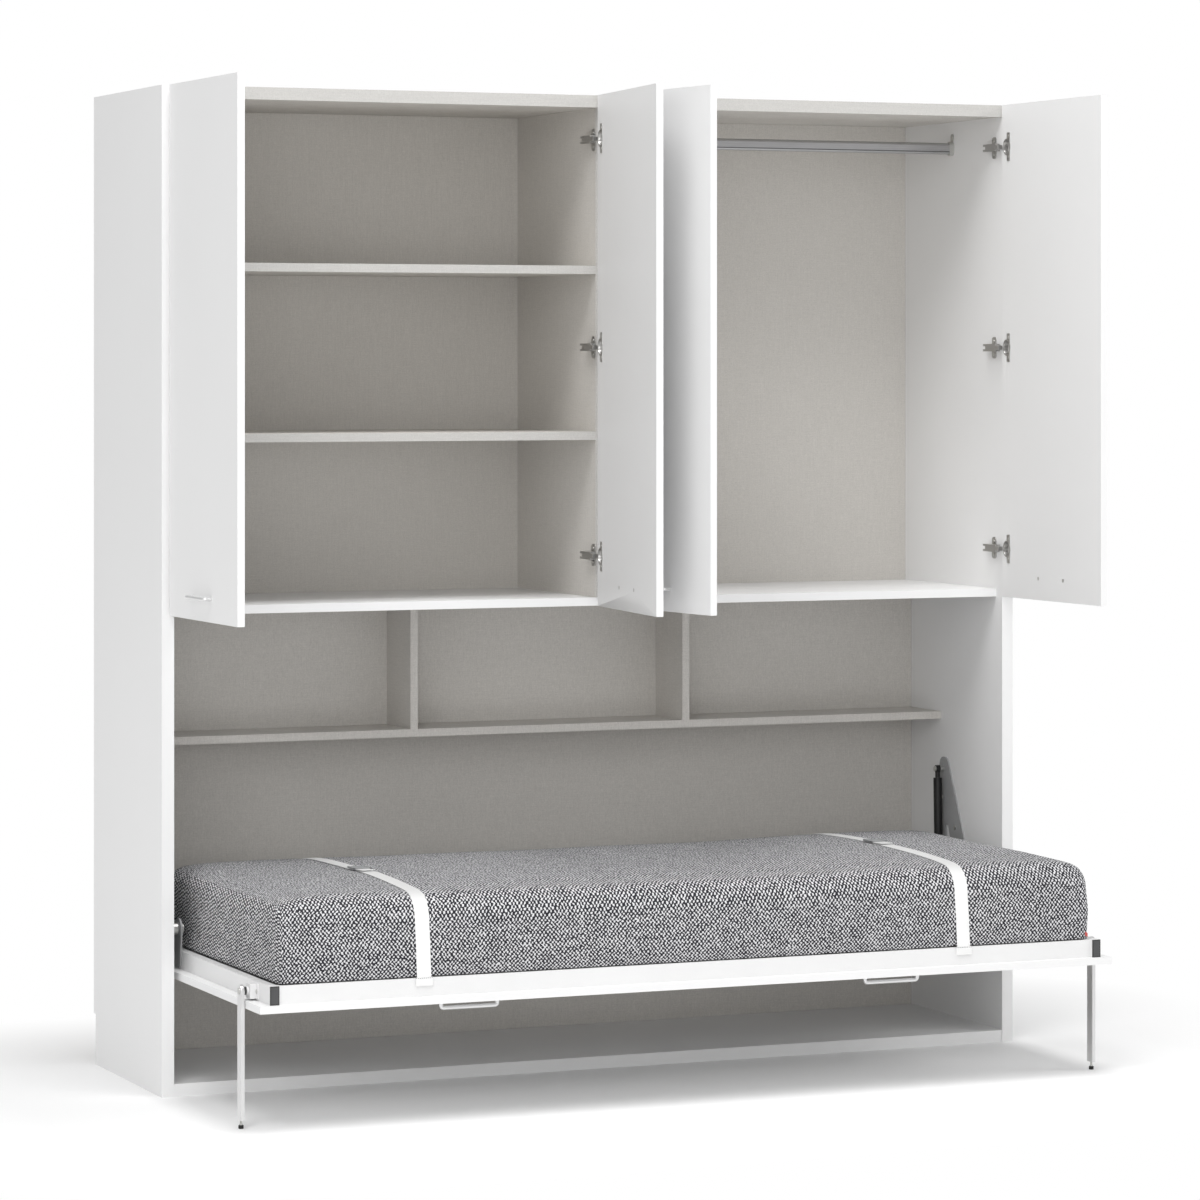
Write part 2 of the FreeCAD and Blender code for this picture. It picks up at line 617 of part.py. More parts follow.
def handle(radius, spacing, reach, corner):
    """A round bow handle: its feet stand on z = 0 at x = +-spacing / 2 and it reaches to +z."""
    half = spacing / 2
    top = reach - radius
    bend = corner * (1 - math.cos(math.pi / 4))
    bends = []
    for side in (-1, 1):
        foot = Vec(side * half, 0, 0)
        rise = Vec(side * half, 0, top - corner)
        turn = Vec(side * (half - bend), 0, top - bend)
        run = Vec(side * (half - corner), 0, top)
        bends.append((foot, rise, turn, run))
    (foot, rise, turn, run), (end_foot, end_rise, end_turn, end_run) = bends
    edges = [
        Part.makeLine(foot, rise),
        Part.Arc(rise, turn, run).toShape(),
        Part.makeLine(run, end_run),
        Part.Arc(end_run, end_turn, end_rise).toShape(),
        Part.makeLine(end_rise, end_foot),
    ]
    ring = Part.Wire([Part.makeCircle(radius, foot, Vec(0, 0, 1))])
    bow = Part.Wire(edges).makePipeShell([ring], True, False)
    for x in (-half, half):
        hole = HANDLE_SCREW_R + SCREW_FIT
        bow = bow.cut(bar(Vec(x, 0, 0), Vec(x, 0, HANDLE_SCREW_DEPTH + EPS), hole))
    return bow


def door_handle_centre(place):
    """Middle of the handle's feet on the closed door's outer face."""
    x = place.edge + place.reach * DOOR_W / 2
    return Vec(x, DOOR_OUT_Y, DOOR_Z + DOOR_HANDLE_RISE)


def cup_solid(place, z):
    """One hinge cup with its flange, in the closed door's inner face."""
    x = place.edge + place.reach * CUP_FROM_EDGE
    rim = DOOR_IN_Y
    cup = bar(Vec(x, rim - CUP_DEPTH, z), Vec(x, rim, z), CUP_R)
    near, far = place.span(CUP_FROM_EDGE + FLANGE_WING[0], CUP_FROM_EDGE + FLANGE_WING[1])
    half = FLANGE_TALL / 2
    proud = rim + FLANGE_T
    flange = bar(Vec(x, rim, z), Vec(x, proud, z), CUP_R + FLANGE_RIM)
    wing = [(near, z - half), (far, z - half), (far, z + half), (near, z + half)]
    points = [Vec(px, rim, pz) for px, pz in wing]
    plate = Part.Face(rounded_wire(points, [FLANGE_CORNER] * 4)).extrude(Vec(0, FLANGE_T, 0))
    body = cup.fuse(flange).fuse(plate)
    pocket = bar(Vec(x, rim - CUP_DEPTH + CUP_FLOOR, z), Vec(x, proud, z), CUP_POCKET_R)
    body = body.cut(pocket)
    for tip, head, radius in cup_screw_lines(place, z):
        body = body.cut(bar(tip, head, radius + SCREW_FIT))
    return body.removeSplitter()


def cup_screw_lines(place, z):
    """The two screws of one cup's flange, from tip to head."""
    x = place.edge + place.reach * (CUP_FROM_EDGE + CUP_SCREW_OFFSET)
    lines = []
    for side in (-1, 1):
        zs = z + side * CUP_SCREW_SPACING / 2
        tip = Vec(x, DOOR_IN_Y - HINGE_SCREW_LENGTH, zs)
        lines.append((tip, Vec(x, DOOR_IN_Y + FLANGE_T, zs), SCREW_R))
    return lines


def door_pieces(place):
    """Door leaf, handle, hinge cups and screws of one door, as they stand open."""
    x0, x1 = place.span(0, DOOR_W)
    leaf = block(x0, x1, DOOR_OUT_Y, DOOR_IN_Y, DOOR_Z, HEIGHT)
    cups = []
    screws = []
    for z in HINGE_ZS:
        x = place.edge + place.reach * CUP_FROM_EDGE
        cups.append(cup_solid(place, z))
        bottom = Vec(x, DOOR_IN_Y - CUP_DEPTH - CUP_FIT, z)
        leaf = leaf.cut(bar(bottom, Vec(x, DOOR_IN_Y, z), CUP_R + CUP_FIT))
        for tip, head, radius in cup_screw_lines(place, z):
            leaf = leaf.cut(bar(tip, head, radius + SCREW_FIT))
            screws.append(screw(tip, head, radius, SCREW_HEAD_R, CUP_SCREW_HEAD_T))
    centre = door_handle_centre(place)
    bow = handle(DOOR_HANDLE_R, HANDLE_SPACING, DOOR_HANDLE_REACH, DOOR_HANDLE_CORNER)
    bow.rotate(Vec(0, 0, 0), Vec(1, 0, 0), 90)
    bow.translate(centre)
    for side in (-1, 1):
        foot = centre + Vec(side * HANDLE_SPACING / 2, 0, 0)
        tip = foot - Vec(0, HANDLE_SCREW_DEPTH, 0)
        head = foot + Vec(0, DOOR_T - HANDLE_SCREW_HEAD_T, 0)
        sunk = head + Vec(0, HANDLE_SCREW_HEAD_T, 0)
        leaf = leaf.cut(bar(foot, head, HANDLE_SCREW_R + SCREW_FIT))
        leaf = leaf.cut(bar(head, sunk, HANDLE_SCREW_HEAD_R + SCREW_FIT))
        screws.append(screw(tip, head, HANDLE_SCREW_R, HANDLE_SCREW_HEAD_R, HANDLE_SCREW_HEAD_T))
    name = f"door_{place.number}"
    return {
        name: place.opened(leaf),
        f"{name}_handle": place.opened(bow),
        f"{name}_hinge_cups": place.opened(group(cups)),
        f"{name}_screws": place.opened(group(screws)),
    }


def hinge_arm(place, z):
    """One hinge's mounting plate and arm, whose nose stands in the closed door's cup."""
    away = place.reach
    wall = place.wall
    near = place.axis_x + away * NOSE_FROM_PIVOT
    far = near + away * NOSE_WIDE
    nose_x = sorted((near, far))
    half = PLATE_TALL / 2
    plate_x0, plate_x1 = sorted((wall, wall + away * PLATE_T))
    points = [Vec(plate_x0, PLATE_FRONT_Y, z - half), Vec(plate_x0, PLATE_REAR_Y, z - half),
              Vec(plate_x0, PLATE_REAR_Y, z + half), Vec(plate_x0, PLATE_FRONT_Y, z + half)]
    wing = Part.Face(rounded_wire(points, [PLATE_CORNER_R] * 4)).extrude(Vec(plate_x1 - plate_x0, 0, 0))
    for tip, head, radius in plate_screw_lines(place, z):
        wing = wing.cut(bar(tip, head, radius + SCREW_FIT))
    root_x = sorted((wall, near))
    nose_half = NOSE_TALL / 2
    root = block(root_x[0], root_x[1], PLATE_FRONT_Y, PLATE_REAR_Y, z - nose_half, z + nose_half)
    arm = block(nose_x[0], nose_x[1], ARM_FRONT_Y, ARM_REAR_Y, z - ARM_TALL / 2, z + ARM_TALL / 2)
    slot = ARM_SLOT_TALL / 2
    arm = arm.cut(block(nose_x[0], nose_x[1], ARM_SLOT_Y, ARM_REAR_Y, z - slot, z + slot))
    nose_y = DOOR_IN_Y - CUP_DEPTH + CUP_FLOOR + NOSE_FLOOR_GAP
    nose = block(nose_x[0], nose_x[1], nose_y, ARM_FRONT_Y, z - nose_half, z + nose_half)
    return wing.fuse(root).fuse(arm).fuse(nose).removeSplitter()


def plate_screw_lines(place, z):
    """The two screws of one mounting plate, from tip to head."""
    y = (PLATE_FRONT_Y + PLATE_REAR_Y) / 2
    lines = []
    for side in (-1, 1):
        zs = z + side * PLATE_SCREW_SPACING / 2
        tip = Vec(place.wall - place.reach * (HINGE_SCREW_LENGTH - PLATE_T), y, zs)
        lines.append((tip, Vec(place.wall + place.reach * PLATE_T, y, zs), SCREW_R))
    return lines


# --- wall plates, pivots and struts ----------------------------------------------------------------
def wall_plate_outline():
    """Outline of the steel plate that carries the bed's pivot and the strut's top."""
    edge_y, edge_z = WALL_PLATE_EDGE
    top_y = edge_y + (WALL_PLATE_TOP - edge_z) * WALL_PLATE_SLOPE
    lobe_top = PIVOT_Z + PIVOT_LOBE
    lobe_front = PIVOT_Y - PIVOT_LOBE
    knee_y = edge_y + (lobe_top - edge_z) * WALL_PLATE_SLOPE
    outline = [(top_y, WALL_PLATE_TOP), (WALL_PLATE_REAR, WALL_PLATE_TOP),
               (WALL_PLATE_REAR, WALL_PLATE_FOOT), (PIVOT_Y, WALL_PLATE_FOOT),
               (lobe_front, PIVOT_Z - PIVOT_LOBE), (lobe_front, lobe_top), (knee_y, lobe_top)]
    return outline, WALL_PLATE_CORNERS


def wall_plate_screw_places():
    """Where the wall plate's screws sit, in (y, z)."""
    strip = (WINDOW_REAR + WALL_PLATE_REAR) / 2
    foot = (WALL_PLATE_FOOT + WINDOW_FOOT) / 2
    edge_y, edge_z = WALL_PLATE_EDGE
    places = [(strip, z) for z in (foot, *STRIP_SCREW_ZS)]
    places.append((PIVOT_Y + FOOT_SCREW_BEHIND, foot + FOOT_SCREW_RISE))
    for z in SLOPE_SCREW_ZS:
        outer = edge_y + (z - edge_z) * WALL_PLATE_SLOPE
        inner = WINDOW_REAR - (WINDOW_TOP - z) * WINDOW_SLOPE
        places.append(((outer + inner) / 2, z))
    return places


def wall_plate():
    """The right-hand wall plate with its window and holes."""
    face = IN_X - WALL_PLATE_T
    outline, radii = wall_plate_outline()
    plate = plate_x(outline, radii, face, IN_X)
    window_front = WINDOW_REAR - (WINDOW_TOP - WINDOW_FOOT) * WINDOW_SLOPE
    window = [(WINDOW_REAR, WINDOW_TOP), (WINDOW_REAR, WINDOW_FOOT), (window_front, WINDOW_FOOT)]
    plate = plate.cut(plate_x(window, [WINDOW_CORNER_R] * 3, face, IN_X))
    plate = plate.cut(bar_x(face, IN_X, PIVOT_Y, PIVOT_Z, PIVOT_R))
    plate = plate.cut(bar_x(face, IN_X, STRUT_TOP[0], STRUT_TOP[1], STUD_R))
    for y, z in wall_plate_screw_places():
        plate = plate.cut(bar_x(face, IN_X, y, z, PLATE_SCREW_R + SCREW_FIT))
    return plate


def wall_plate_screw_lines():
    """Right-hand wall plate's screws, from tip to head."""
    face = IN_X - WALL_PLATE_T
    return [(Vec(IN_X + PLATE_SCREW_IN, y, z), Vec(face, y, z), PLATE_SCREW_R)
            for y, z in wall_plate_screw_places()]


def arm_bush_ends():
    """Low and high X of the right-hand pivot bush, without its flange."""
    return FRAME_OUT - BUSH_INNER, FRAME_OUT + ARM_PLATE_T


def pivot_pin():
    """Right-hand pivot bolt: it runs in the arm's bush and is fixed in the wall plate."""
    inner, _ = arm_bush_ends()
    head_end = inner - SEAT_GAP
    collar = IN_X - WALL_PLATE_T
    pin = bar_x(head_end, IN_X, PIVOT_Y, PIVOT_Z, PIVOT_R)
    pin = pin.fuse(bar_x(head_end - PIVOT_HEAD_T, head_end, PIVOT_Y, PIVOT_Z, PIVOT_HEAD_R))
    flange_end = FRAME_OUT + ARM_PLATE_T + BUSH_FLANGE_T + SEAT_GAP
    return pin.fuse(bar_x(flange_end, collar, PIVOT_Y, PIVOT_Z, PIVOT_COLLAR_R))


def strut_wall_stud():
    """Right-hand stud that carries the strut's top eye."""
    y, z = STRUT_TOP
    half = STRUT_EYE_T / 2
    clip_end = STRUT_X - half - SEAT_GAP
    stud = bar_x(clip_end, IN_X, y, z, STUD_R)
    collar = STRUT_X + half + SEAT_GAP
    stud = stud.fuse(bar_x(collar, IN_X - WALL_PLATE_T, y, z, STUD_COLLAR_R))
    return stud.fuse(bar_x(clip_end - STUD_CLIP_T, clip_end, y, z, STUD_CLIP_R))


def pivot_arm():
    """Right-hand arm: a plate on the side rail with the pivot bush's hole and the strut's stud hole."""
    x0, x1 = FRAME_OUT, FRAME_OUT + ARM_PLATE_T
    circles = [(ARM_FRONT, ARM_FRONT_R), (STRUT_FOOT, STRUT_FOOT_R), ((PIVOT_Y, PIVOT_Z), ARM_LOBE_R)]
    arm = hull_plate(circles, x0, x1)
    arm = arm.cut(bar_x(x0, x1, PIVOT_Y, PIVOT_Z, PIVOT_R + BUSH_WALL))
    arm = arm.cut(bar_x(x0, x1, STRUT_FOOT[0], STRUT_FOOT[1], STUD_R))
    for tip, head, radius in arm_bolt_lines():
        arm = arm.cut(bar(tip, head, radius + SCREW_FIT))
    return arm


def arm_bolt_lines():
    """Bolts of the right-hand arm into the side rail, from tip to head."""
    z = (BED_TOP + FRAME_TOP) / 2
    tip = FRAME_OUT - TUBE_WALL
    head = FRAME_OUT + ARM_PLATE_T
    ys = [FRAME_REAR - ARM_BOLT_INSET - i * ARM_BOLT_STEP for i in range(ARM_BOLT_COUNT)]
    return [(Vec(tip, y, z), Vec(head, y, z), PLATE_SCREW_R) for y in ys]


def pivot_bush():
    """Right-hand flanged bush in the arm."""
    x0, x1 = arm_bush_ends()
    bush = bar_x(x0, x1, PIVOT_Y, PIVOT_Z, PIVOT_R + BUSH_WALL)
    bush = bush.fuse(bar_x(x1, x1 + BUSH_FLANGE_T, PIVOT_Y, PIVOT_Z, BUSH_FLANGE_R))
    return bush.cut(bar_x(x0, x1 + BUSH_FLANGE_T, PIVOT_Y, PIVOT_Z, PIVOT_R + RUNNING_FIT))


def strut_bed_stud():
    """Right-hand stud on the arm; it ends just short of the strut's lower eye."""
    y, z = STRUT_FOOT
    end = STRUT_X - STRUT_EYE_T / 2 - STUD_GAP
    stud = bar_x(FRAME_OUT, end, y, z, STUD_R)
    return stud.fuse(bar_x(FRAME_OUT + ARM_PLATE_T, end, y, z, STUD_COLLAR_R))


def strut_points():
    """The strut's top eye and the unit direction towards its lower eye, at rest."""
    top = Vec(STRUT_X, STRUT_TOP[0], STRUT_TOP[1])
    foot = Vec(STRUT_X, STRUT_FOOT[0], STRUT_FOOT[1])
    return top, foot, (foot - top).normalize()


def eye(centre, towards, neck):
    """A strut's end fitting: an eye across X and a neck that reaches the strut's body."""
    half = Vec(STRUT_EYE_T / 2, 0, 0)
    ring = bar(centre - half, centre + half, STRUT_EYE_R)
    ring = ring.fuse(bar(centre, centre + towards * neck, STRUT_NECK_R))
    ring = ring.common(block(STRUT_X - STRUT_EYE_T / 2, STRUT_X + STRUT_EYE_T / 2,
                             centre.y - DEPTH, centre.y + DEPTH, 0, HEIGHT))
    return ring.cut(bar(centre - half, centre + half, STUD_R + RUNNING_FIT))


def strut_cylinder():
    """Right-hand strut's cylinder with its top eye, bore and rod guide."""
    top, foot, down = strut_points()
    length = (foot - top).Length
    shoulder = top + down * STRUT_HEAD
    end = top + down * (length - STRUT_TAIL)
    body = bar(shoulder, end, STRUT_BODY_R)
    bore_start = shoulder + down * STRUT_CAP_T
    bore_end = end - down * STRUT_GUIDE_T
    body = body.cut(bar(bore_start, bore_end, STRUT_BORE_R))
    body = body.cut(bar(bore_end, end, STRUT_ROD_R + RUNNING_FIT))
    return body.fuse(eye(top, down, STRUT_HEAD))


def strut_rod():
    """Right-hand strut's rod with its piston and lower eye."""
    top, foot, down = strut_points()
    piston_start = top + down * (STRUT_HEAD + STRUT_CAP_T + SEAT_GAP)
    piston_end = piston_start + down * STRUT_PISTON_T
    neck = STRUT_TAIL - STRUT_NECK_GAP
    rod = bar(piston_end, foot - down * neck, STRUT_ROD_R)
    rod = rod.fuse(bar(piston_start, piston_end, STRUT_BORE_R - RUNNING_FIT))
    return rod.fuse(eye(foot, down * -1, neck))


# --- bed frame -------------------------------------------------------------------------------------
def leg_bracket():
    """Right-hand leg bracket: a flange on the side rail, a housing and the pivot boss."""
    y, z = LEG_Y, LEG_PIVOT_Z
    x0 = FRAME_OUT
    x1 = x0 + LEG_BRACKET_DEEP
    half_long = LEG_BRACKET_LONG / 2
    half_tall = LEG_BRACKET_TALL / 2
    flange_half = LEG_BRACKET_FLANGE_LONG / 2
    flange = block(x0, x0 + LEG_BRACKET_FLANGE, y - flange_half, y + flange_half,
                   z - half_tall, z + half_tall)
    housing = block(x0, x1, y - half_long, y + half_long, z - half_tall, z + half_tall)
    boss = bar_x(x1, x1 + LEG_BOSS_T, y, z, LEG_BOSS_R)
    bracket = flange.fuse(housing).fuse(boss)
    bracket = bracket.cut(bar_x(x0, x1 + LEG_BOSS_T, y, z, LEG_BOLT_R + RUNNING_FIT))
    for tip, head, radius in leg_bracket_screw_lines():
        bracket = bracket.cut(bar(tip, head, radius + SCREW_FIT))
    return bracket.removeSplitter()


def leg_bracket_screw_lines():
    """Screws of the right-hand leg bracket into the side rail, from tip to head."""
    reach = (LEG_BRACKET_LONG + LEG_BRACKET_FLANGE_LONG) / 4
    tip = FRAME_OUT - TUBE_WALL
    head = FRAME_OUT + LEG_BRACKET_FLANGE
    return [(Vec(tip, LEG_Y + side * reach, LEG_PIVOT_Z), Vec(head, LEG_Y + side * reach, LEG_PIVOT_Z),
             PLATE_SCREW_R) for side in (-1, 1)]


def leg_bolt():
    """Right-hand leg pivot bolt, from inside the bracket to its head outside the leg."""
    outer = LEG_X + LEG_T / 2
    end = outer + LEG_BOLT_HEAD_T
    shank = bar_x(FRAME_OUT, end, LEG_Y, LEG_PIVOT_Z, LEG_BOLT_R)
    return shank.fuse(bar_x(outer + RUNNING_FIT, end, LEG_Y, LEG_PIVOT_Z, LEG_BOLT_HEAD_R))


def biarc(start, start_way, end, end_way):
    """Two arcs that join two points smoothly along the given directions."""
    span = end - start
    ways = start_way + end_way
    a = ways.dot(ways) - 4
    b = -2 * span.dot(ways)
    c = span.dot(span)
    reach = (-b - math.sqrt(b * b - 4 * a * c)) / (2 * a)
    joint = (start + start_way * reach + end - end_way * reach) / 2
    arcs = []
    for point, way, other in ((start, start_way, joint), (end, end_way * -1, joint)):
        chord = other - point
        side = chord - way * chord.dot(way)
        radius = chord.dot(chord) / (2 * side.Length)
        centre = point + side.normalize() * radius
        middle = centre + ((point + other) / 2 - centre).normalize() * radius
        arcs.append((point, middle, other))
    first, last = arcs
    return [Part.Arc(*first).toShape(), Part.Arc(last[2], last[1], last[0]).toShape()]


def leg_spring():
    """Right-hand spring between the bracket's boss and the leg, wound as one wire."""
    low = FRAME_OUT + LEG_BRACKET_DEEP + LEG_BOSS_T + SPRING_SEAT + SPRING_WIRE_R
    high = LEG_X - LEG_T / 2 - SPRING_SEAT - SPRING_WIRE_R
    pitch = (high - low) / SPRING_TURNS
    quarters = round(SPRING_TURNS * 4)
    points = []
    ways = []
    for i in range(quarters + 1):
        angle = i * math.pi / 2
        offset = Vec(0, math.cos(angle) * SPRING_R, math.sin(angle) * SPRING_R)
        points.append(Vec(low + pitch * i / 4, LEG_Y, LEG_PIVOT_Z) + offset)
        rise = pitch / (2 * math.pi)
        way = Vec(rise, -math.sin(angle) * SPRING_R, math.cos(angle) * SPRING_R)
        ways.append(way.normalize())
    edges = []
    for i in range(quarters):
        edges += biarc(points[i], ways[i], points[i + 1], ways[i + 1])
    ring = Part.Wire([Part.makeCircle(SPRING_WIRE_R, points[0], ways[0])])
    print("spring: least gap between turns", round(pitch - 2 * SPRING_WIRE_R, 3))
    return Part.Wire(edges).makePipeShell([ring], True, False)


def leg(sign):
    """One leg: a flat bar with a rounded top, its pivot hole and the foot's threaded hole."""
    x0, x1 = sorted((sign * (LEG_X - LEG_T / 2), sign * (LEG_X + LEG_T / 2)))
    half = LEG_WIDE / 2
    body = block(x0, x1, LEG_Y - half, LEG_Y + half, LEG_FOOT_Z, LEG_PIVOT_Z)
    body = body.fuse(bar_x(x0, x1, LEG_Y, LEG_PIVOT_Z, half))
    body = body.cut(bar_x(x0, x1, LEG_Y, LEG_PIVOT_Z, LEG_BOLT_R + RUNNING_FIT))
    thread_end = LEG_FOOT_Z + FOOT_THREAD_IN + FOOT_THREAD_CLEAR
    x = sign * LEG_X
    thread = bar(Vec(x, LEG_Y, LEG_FOOT_Z), Vec(x, LEG_Y, thread_end), FOOT_THREAD_R + THREAD_FIT)
    return body.cut(thread).removeSplitter()


def foot(sign):
    """One levelling foot: a pad and its threaded stem."""
    x = sign * LEG_X
    seat = Vec(x, LEG_Y, FOOT_TALL)
    stem_end = Vec(x, LEG_Y, LEG_FOOT_Z + FOOT_THREAD_IN)
    return bar(Vec(x, LEG_Y, 0), seat, FOOT_R).fuse(bar(seat, stem_end, FOOT_THREAD_R))


def panel_screw_lines():
    """Screws that hold the frame's rails on the panel, from tip to the rail's lower wall."""
    lines = []
    side_x = (FRAME_IN + FRAME_OUT) / 2
    long_y = RAIL_FRONT + TUBE_WIDE / 2
    rear_y = RAIL_REAR - TUBE_WIDE / 2
    for i in range(FRAME_RAIL_SCREW_COUNT):
        share = i / (FRAME_RAIL_SCREW_COUNT - 1)
        y = FRAME_FRONT + FRAME_SCREW_INSET + share * (FRAME_REAR - FRAME_FRONT - 2 * FRAME_SCREW_INSET)
        x = -FRAME_IN + FRAME_SCREW_INSET + share * 2 * (FRAME_IN - FRAME_SCREW_INSET)
        lines += [(side_x, y), (-side_x, y), (x, long_y), (x, rear_y)]
    tip = BED_TOP - FRAME_SCREW_IN
    head = BED_TOP + TUBE_WALL
    return [(Vec(x, y, tip), Vec(x, y, head), SCREW_R) for x, y in lines]


def bed_handle_screws():
    """Screws of the bed's handles, from the tip in the handle to the sunk head."""
    lines = []
    for x in (-BED_HANDLE_X, BED_HANDLE_X):
        for side in (-1, 1):
            place = x + side * HANDLE_SPACING / 2
            tip = Vec(place, BED_HANDLE_Y, BED_PANEL_Z - HANDLE_SCREW_DEPTH)
            head = Vec(place, BED_HANDLE_Y, BED_TOP - HANDLE_SCREW_HEAD_T)
            lines.append((tip, head, HANDLE_SCREW_R))
    return lines


def bed_panel():
    """The panel under the frame, which is the cabinet's lower front when the bed is up."""
    panel = block(-BED_HALF, BED_HALF, BED_PANEL_FRONT, BED_PANEL_REAR, BED_PANEL_Z, BED_TOP)
    for tip, head, radius in panel_screw_lines():
        panel = panel.cut(bar(tip, head, radius + SCREW_FIT))
    for tip, head, radius in bed_handle_screws():
        panel = panel.cut(bar(tip, head, radius + SCREW_FIT))
        top = Vec(head.x, head.y, BED_TOP)
        panel = panel.cut(bar(head, top, HANDLE_SCREW_HEAD_R + SCREW_FIT))
    return panel


def side_rails():
    """The two side rails, with the holes for their screws."""
    screws = panel_screw_lines()
    bolts = arm_bolt_lines() + leg_bracket_screw_lines()
    rails = []
    rail = tube_y(FRAME_IN, FRAME_OUT, FRAME_FRONT, FRAME_REAR, BED_TOP, FRAME_TOP, TUBE_WALL)
    for tip, head, radius in bolts:
        rail = rail.cut(bar(tip, head, radius + SCREW_FIT))
    for sign in (-1, 1):
        mine = rail if sign == 1 else other_side(rail)
        for tip, head, radius in screws:
            if tip.x * sign > FRAME_IN:
                mine = mine.cut(bar(tip, head, radius + SCREW_FIT))
        rails.append(mine)
    return group(rails)


def long_rails():
    """The front and the rear rail, with the holes for their screws."""
    rails = []
    for y0 in (RAIL_FRONT, RAIL_REAR - TUBE_WIDE):
        rail = tube_x(-FRAME_IN, FRAME_IN, y0, y0 + TUBE_WIDE, BED_TOP, FRAME_TOP, TUBE_WALL)
        for tip, head, radius in panel_screw_lines():
            if abs(tip.x) < FRAME_IN and y0 < tip.y < y0 + TUBE_WIDE:
                rail = rail.cut(bar(tip, head, radius + SCREW_FIT))
        rails.append(rail)
    return group(rails)


def end_caps():
    """Plastic plugs in the side rails' four open ends."""
    caps = []
    inside = TUBE_WALL + END_CAP_FIT
    for y_face, inward in ((FRAME_FRONT, 1), (FRAME_REAR, -1)):
        head_y = sorted((y_face, y_face - inward * END_CAP_T))
        plug_y = sorted((y_face, y_face + inward * END_CAP_PLUG))
        head = block(FRAME_IN, FRAME_OUT, head_y[0], head_y[1], BED_TOP, FRAME_TOP)
        plug = block(FRAME_IN + inside, FRAME_OUT - inside, plug_y[0], plug_y[1],
                     BED_TOP + inside, FRAME_TOP - inside)
        caps.append(head.fuse(plug))
    return both_sides(caps)


def slat_xs():
    """Centres of the slats, spread evenly along the frame."""
    room = 2 * FRAME_IN - SLAT_WIDE
    gap = (room - (SLAT_COUNT - 1) * SLAT_WIDE) / (SLAT_COUNT + 1)
    first = -FRAME_IN + gap + SLAT_WIDE / 2
    return [first + i * (SLAT_WIDE + gap) for i in range(SLAT_COUNT)]


def slats_and_holders():
    """The slats across the frame and the holders on the rails' inner faces."""
    front = RAIL_FRONT + TUBE_WIDE
    rear = RAIL_REAR - TUBE_WIDE
    slats = []
    holders = []
    half = SLAT_WIDE / 2
    low = FRAME_TOP - SLAT_T
    for x in slat_xs():
        y0 = front + SLAT_HOLDER_WALL
        y1 = rear - SLAT_HOLDER_WALL
        slats.append(block(x - half, x + half, y0, y1, low, FRAME_TOP))
        wide = half + SLAT_HOLDER_WALL
        for face, inward in ((front, 1), (rear, -1)):
            ys = sorted((face, face + inward * SLAT_HOLDER_DEEP))
            ledge = block(x - wide, x + wide, ys[0], ys[1],
                          low - SLAT_HOLDER_WALL, FRAME_TOP - SLAT_HOLDER_WALL)
            room = block(x - half - SLAT_FIT, x + half + SLAT_FIT, y0, y1, low, FRAME_TOP)
            holders.append(ledge.cut(room))
    return group(slats), group(holders)


def centre_bar():
    """The bar along the middle that carries the slats between the long rails."""
    half = CENTRE_BAR_WIDE / 2
    y = MATTRESS_MID_Y
    return tube_x(-FRAME_IN, FRAME_IN, y - half, y + half, BED_TOP, FRAME_TOP - SLAT_T, TUBE_WALL)


# --- mattress and straps -----------------------------------------------------------------------------
def mattress_wire(x, inset, drop, lift):
    """The mattress's outline across its width at one X, drawn in by inset, drop and lift."""
    half = MATTRESS_WIDTH / 2
    mid = MATTRESS_MID_Y
    low = MATTRESS_Z + lift
    side_z = MATTRESS_Z + MATTRESS_SIDE_T - drop
    corner_z = MATTRESS_Z + MATTRESS_CORNER_T - drop
    edge_z = MATTRESS_Z + MATTRESS_EDGE_T - drop
    crown_z = MATTRESS_Z + MATTRESS_T - drop
    foot = half - MATTRESS_FOOT_IN - inset
    belly = half - MATTRESS_BELLY_IN - inset
    side = half - MATTRESS_SIDE_IN - inset
    corner = half - MATTRESS_CORNER_IN - inset
    edge = half - MATTRESS_EDGE_IN - inset
    waist = (low + side_z) / 2
    corners = [Vec(x, mid - foot, low), Vec(x, mid - side, side_z), Vec(x, mid - edge, edge_z),
               Vec(x, mid + edge, edge_z), Vec(x, mid + side, side_z), Vec(x, mid + foot, low)]
    middles = [Vec(x, mid - belly, waist), Vec(x, mid - corner, corner_z), Vec(x, mid, crown_z),
               Vec(x, mid + corner, corner_z), Vec(x, mid + belly, waist)]
    edges = [Part.Arc(corners[i], middles[i], corners[i + 1]).toShape() for i in range(5)]
    edges.append(Part.makeLine(corners[5], corners[0]))
    return Part.Wire(edges)


def mattress_end(straight):
    """Outlines of one rounded end: a quarter ellipse draws each in, drops the top, lifts the foot."""
    wires = [mattress_wire(straight, 0, 0, 0)]
    for i in range(1, MATTRESS_END_STEPS + 1):
        angle = i * math.pi / 2 / MATTRESS_END_STEPS
        along = math.sin(angle)
        fall = 1 - math.cos(angle)
        x = straight + MATTRESS_END_LONG * along
        bulge = MATTRESS_CORNER_BULGE * math.sin(math.pi * along ** 2)
        lift = MATTRESS_END_LIFT * fall ** MATTRESS_END_LIFT_POWER
        inset = MATTRESS_END_IN * fall ** MATTRESS_END_IN_POWER - bulge
        wires.append(mattress_wire(x, inset, MATTRESS_END_DROP * fall, lift))
    return wires


def mattress():
    """The mattress: straight along its middle, with crowned, rounded ends."""
    straight = MATTRESS_HALF - MATTRESS_END_LONG
    middle = Part.Face(mattress_wire(-straight, 0, 0, 0)).extrude(Vec(2 * straight, 0, 0))
    end = Part.makeLoft(mattress_end(straight), True, True)
    return middle.fuse(end).fuse(other_side(end)).removeSplitter()


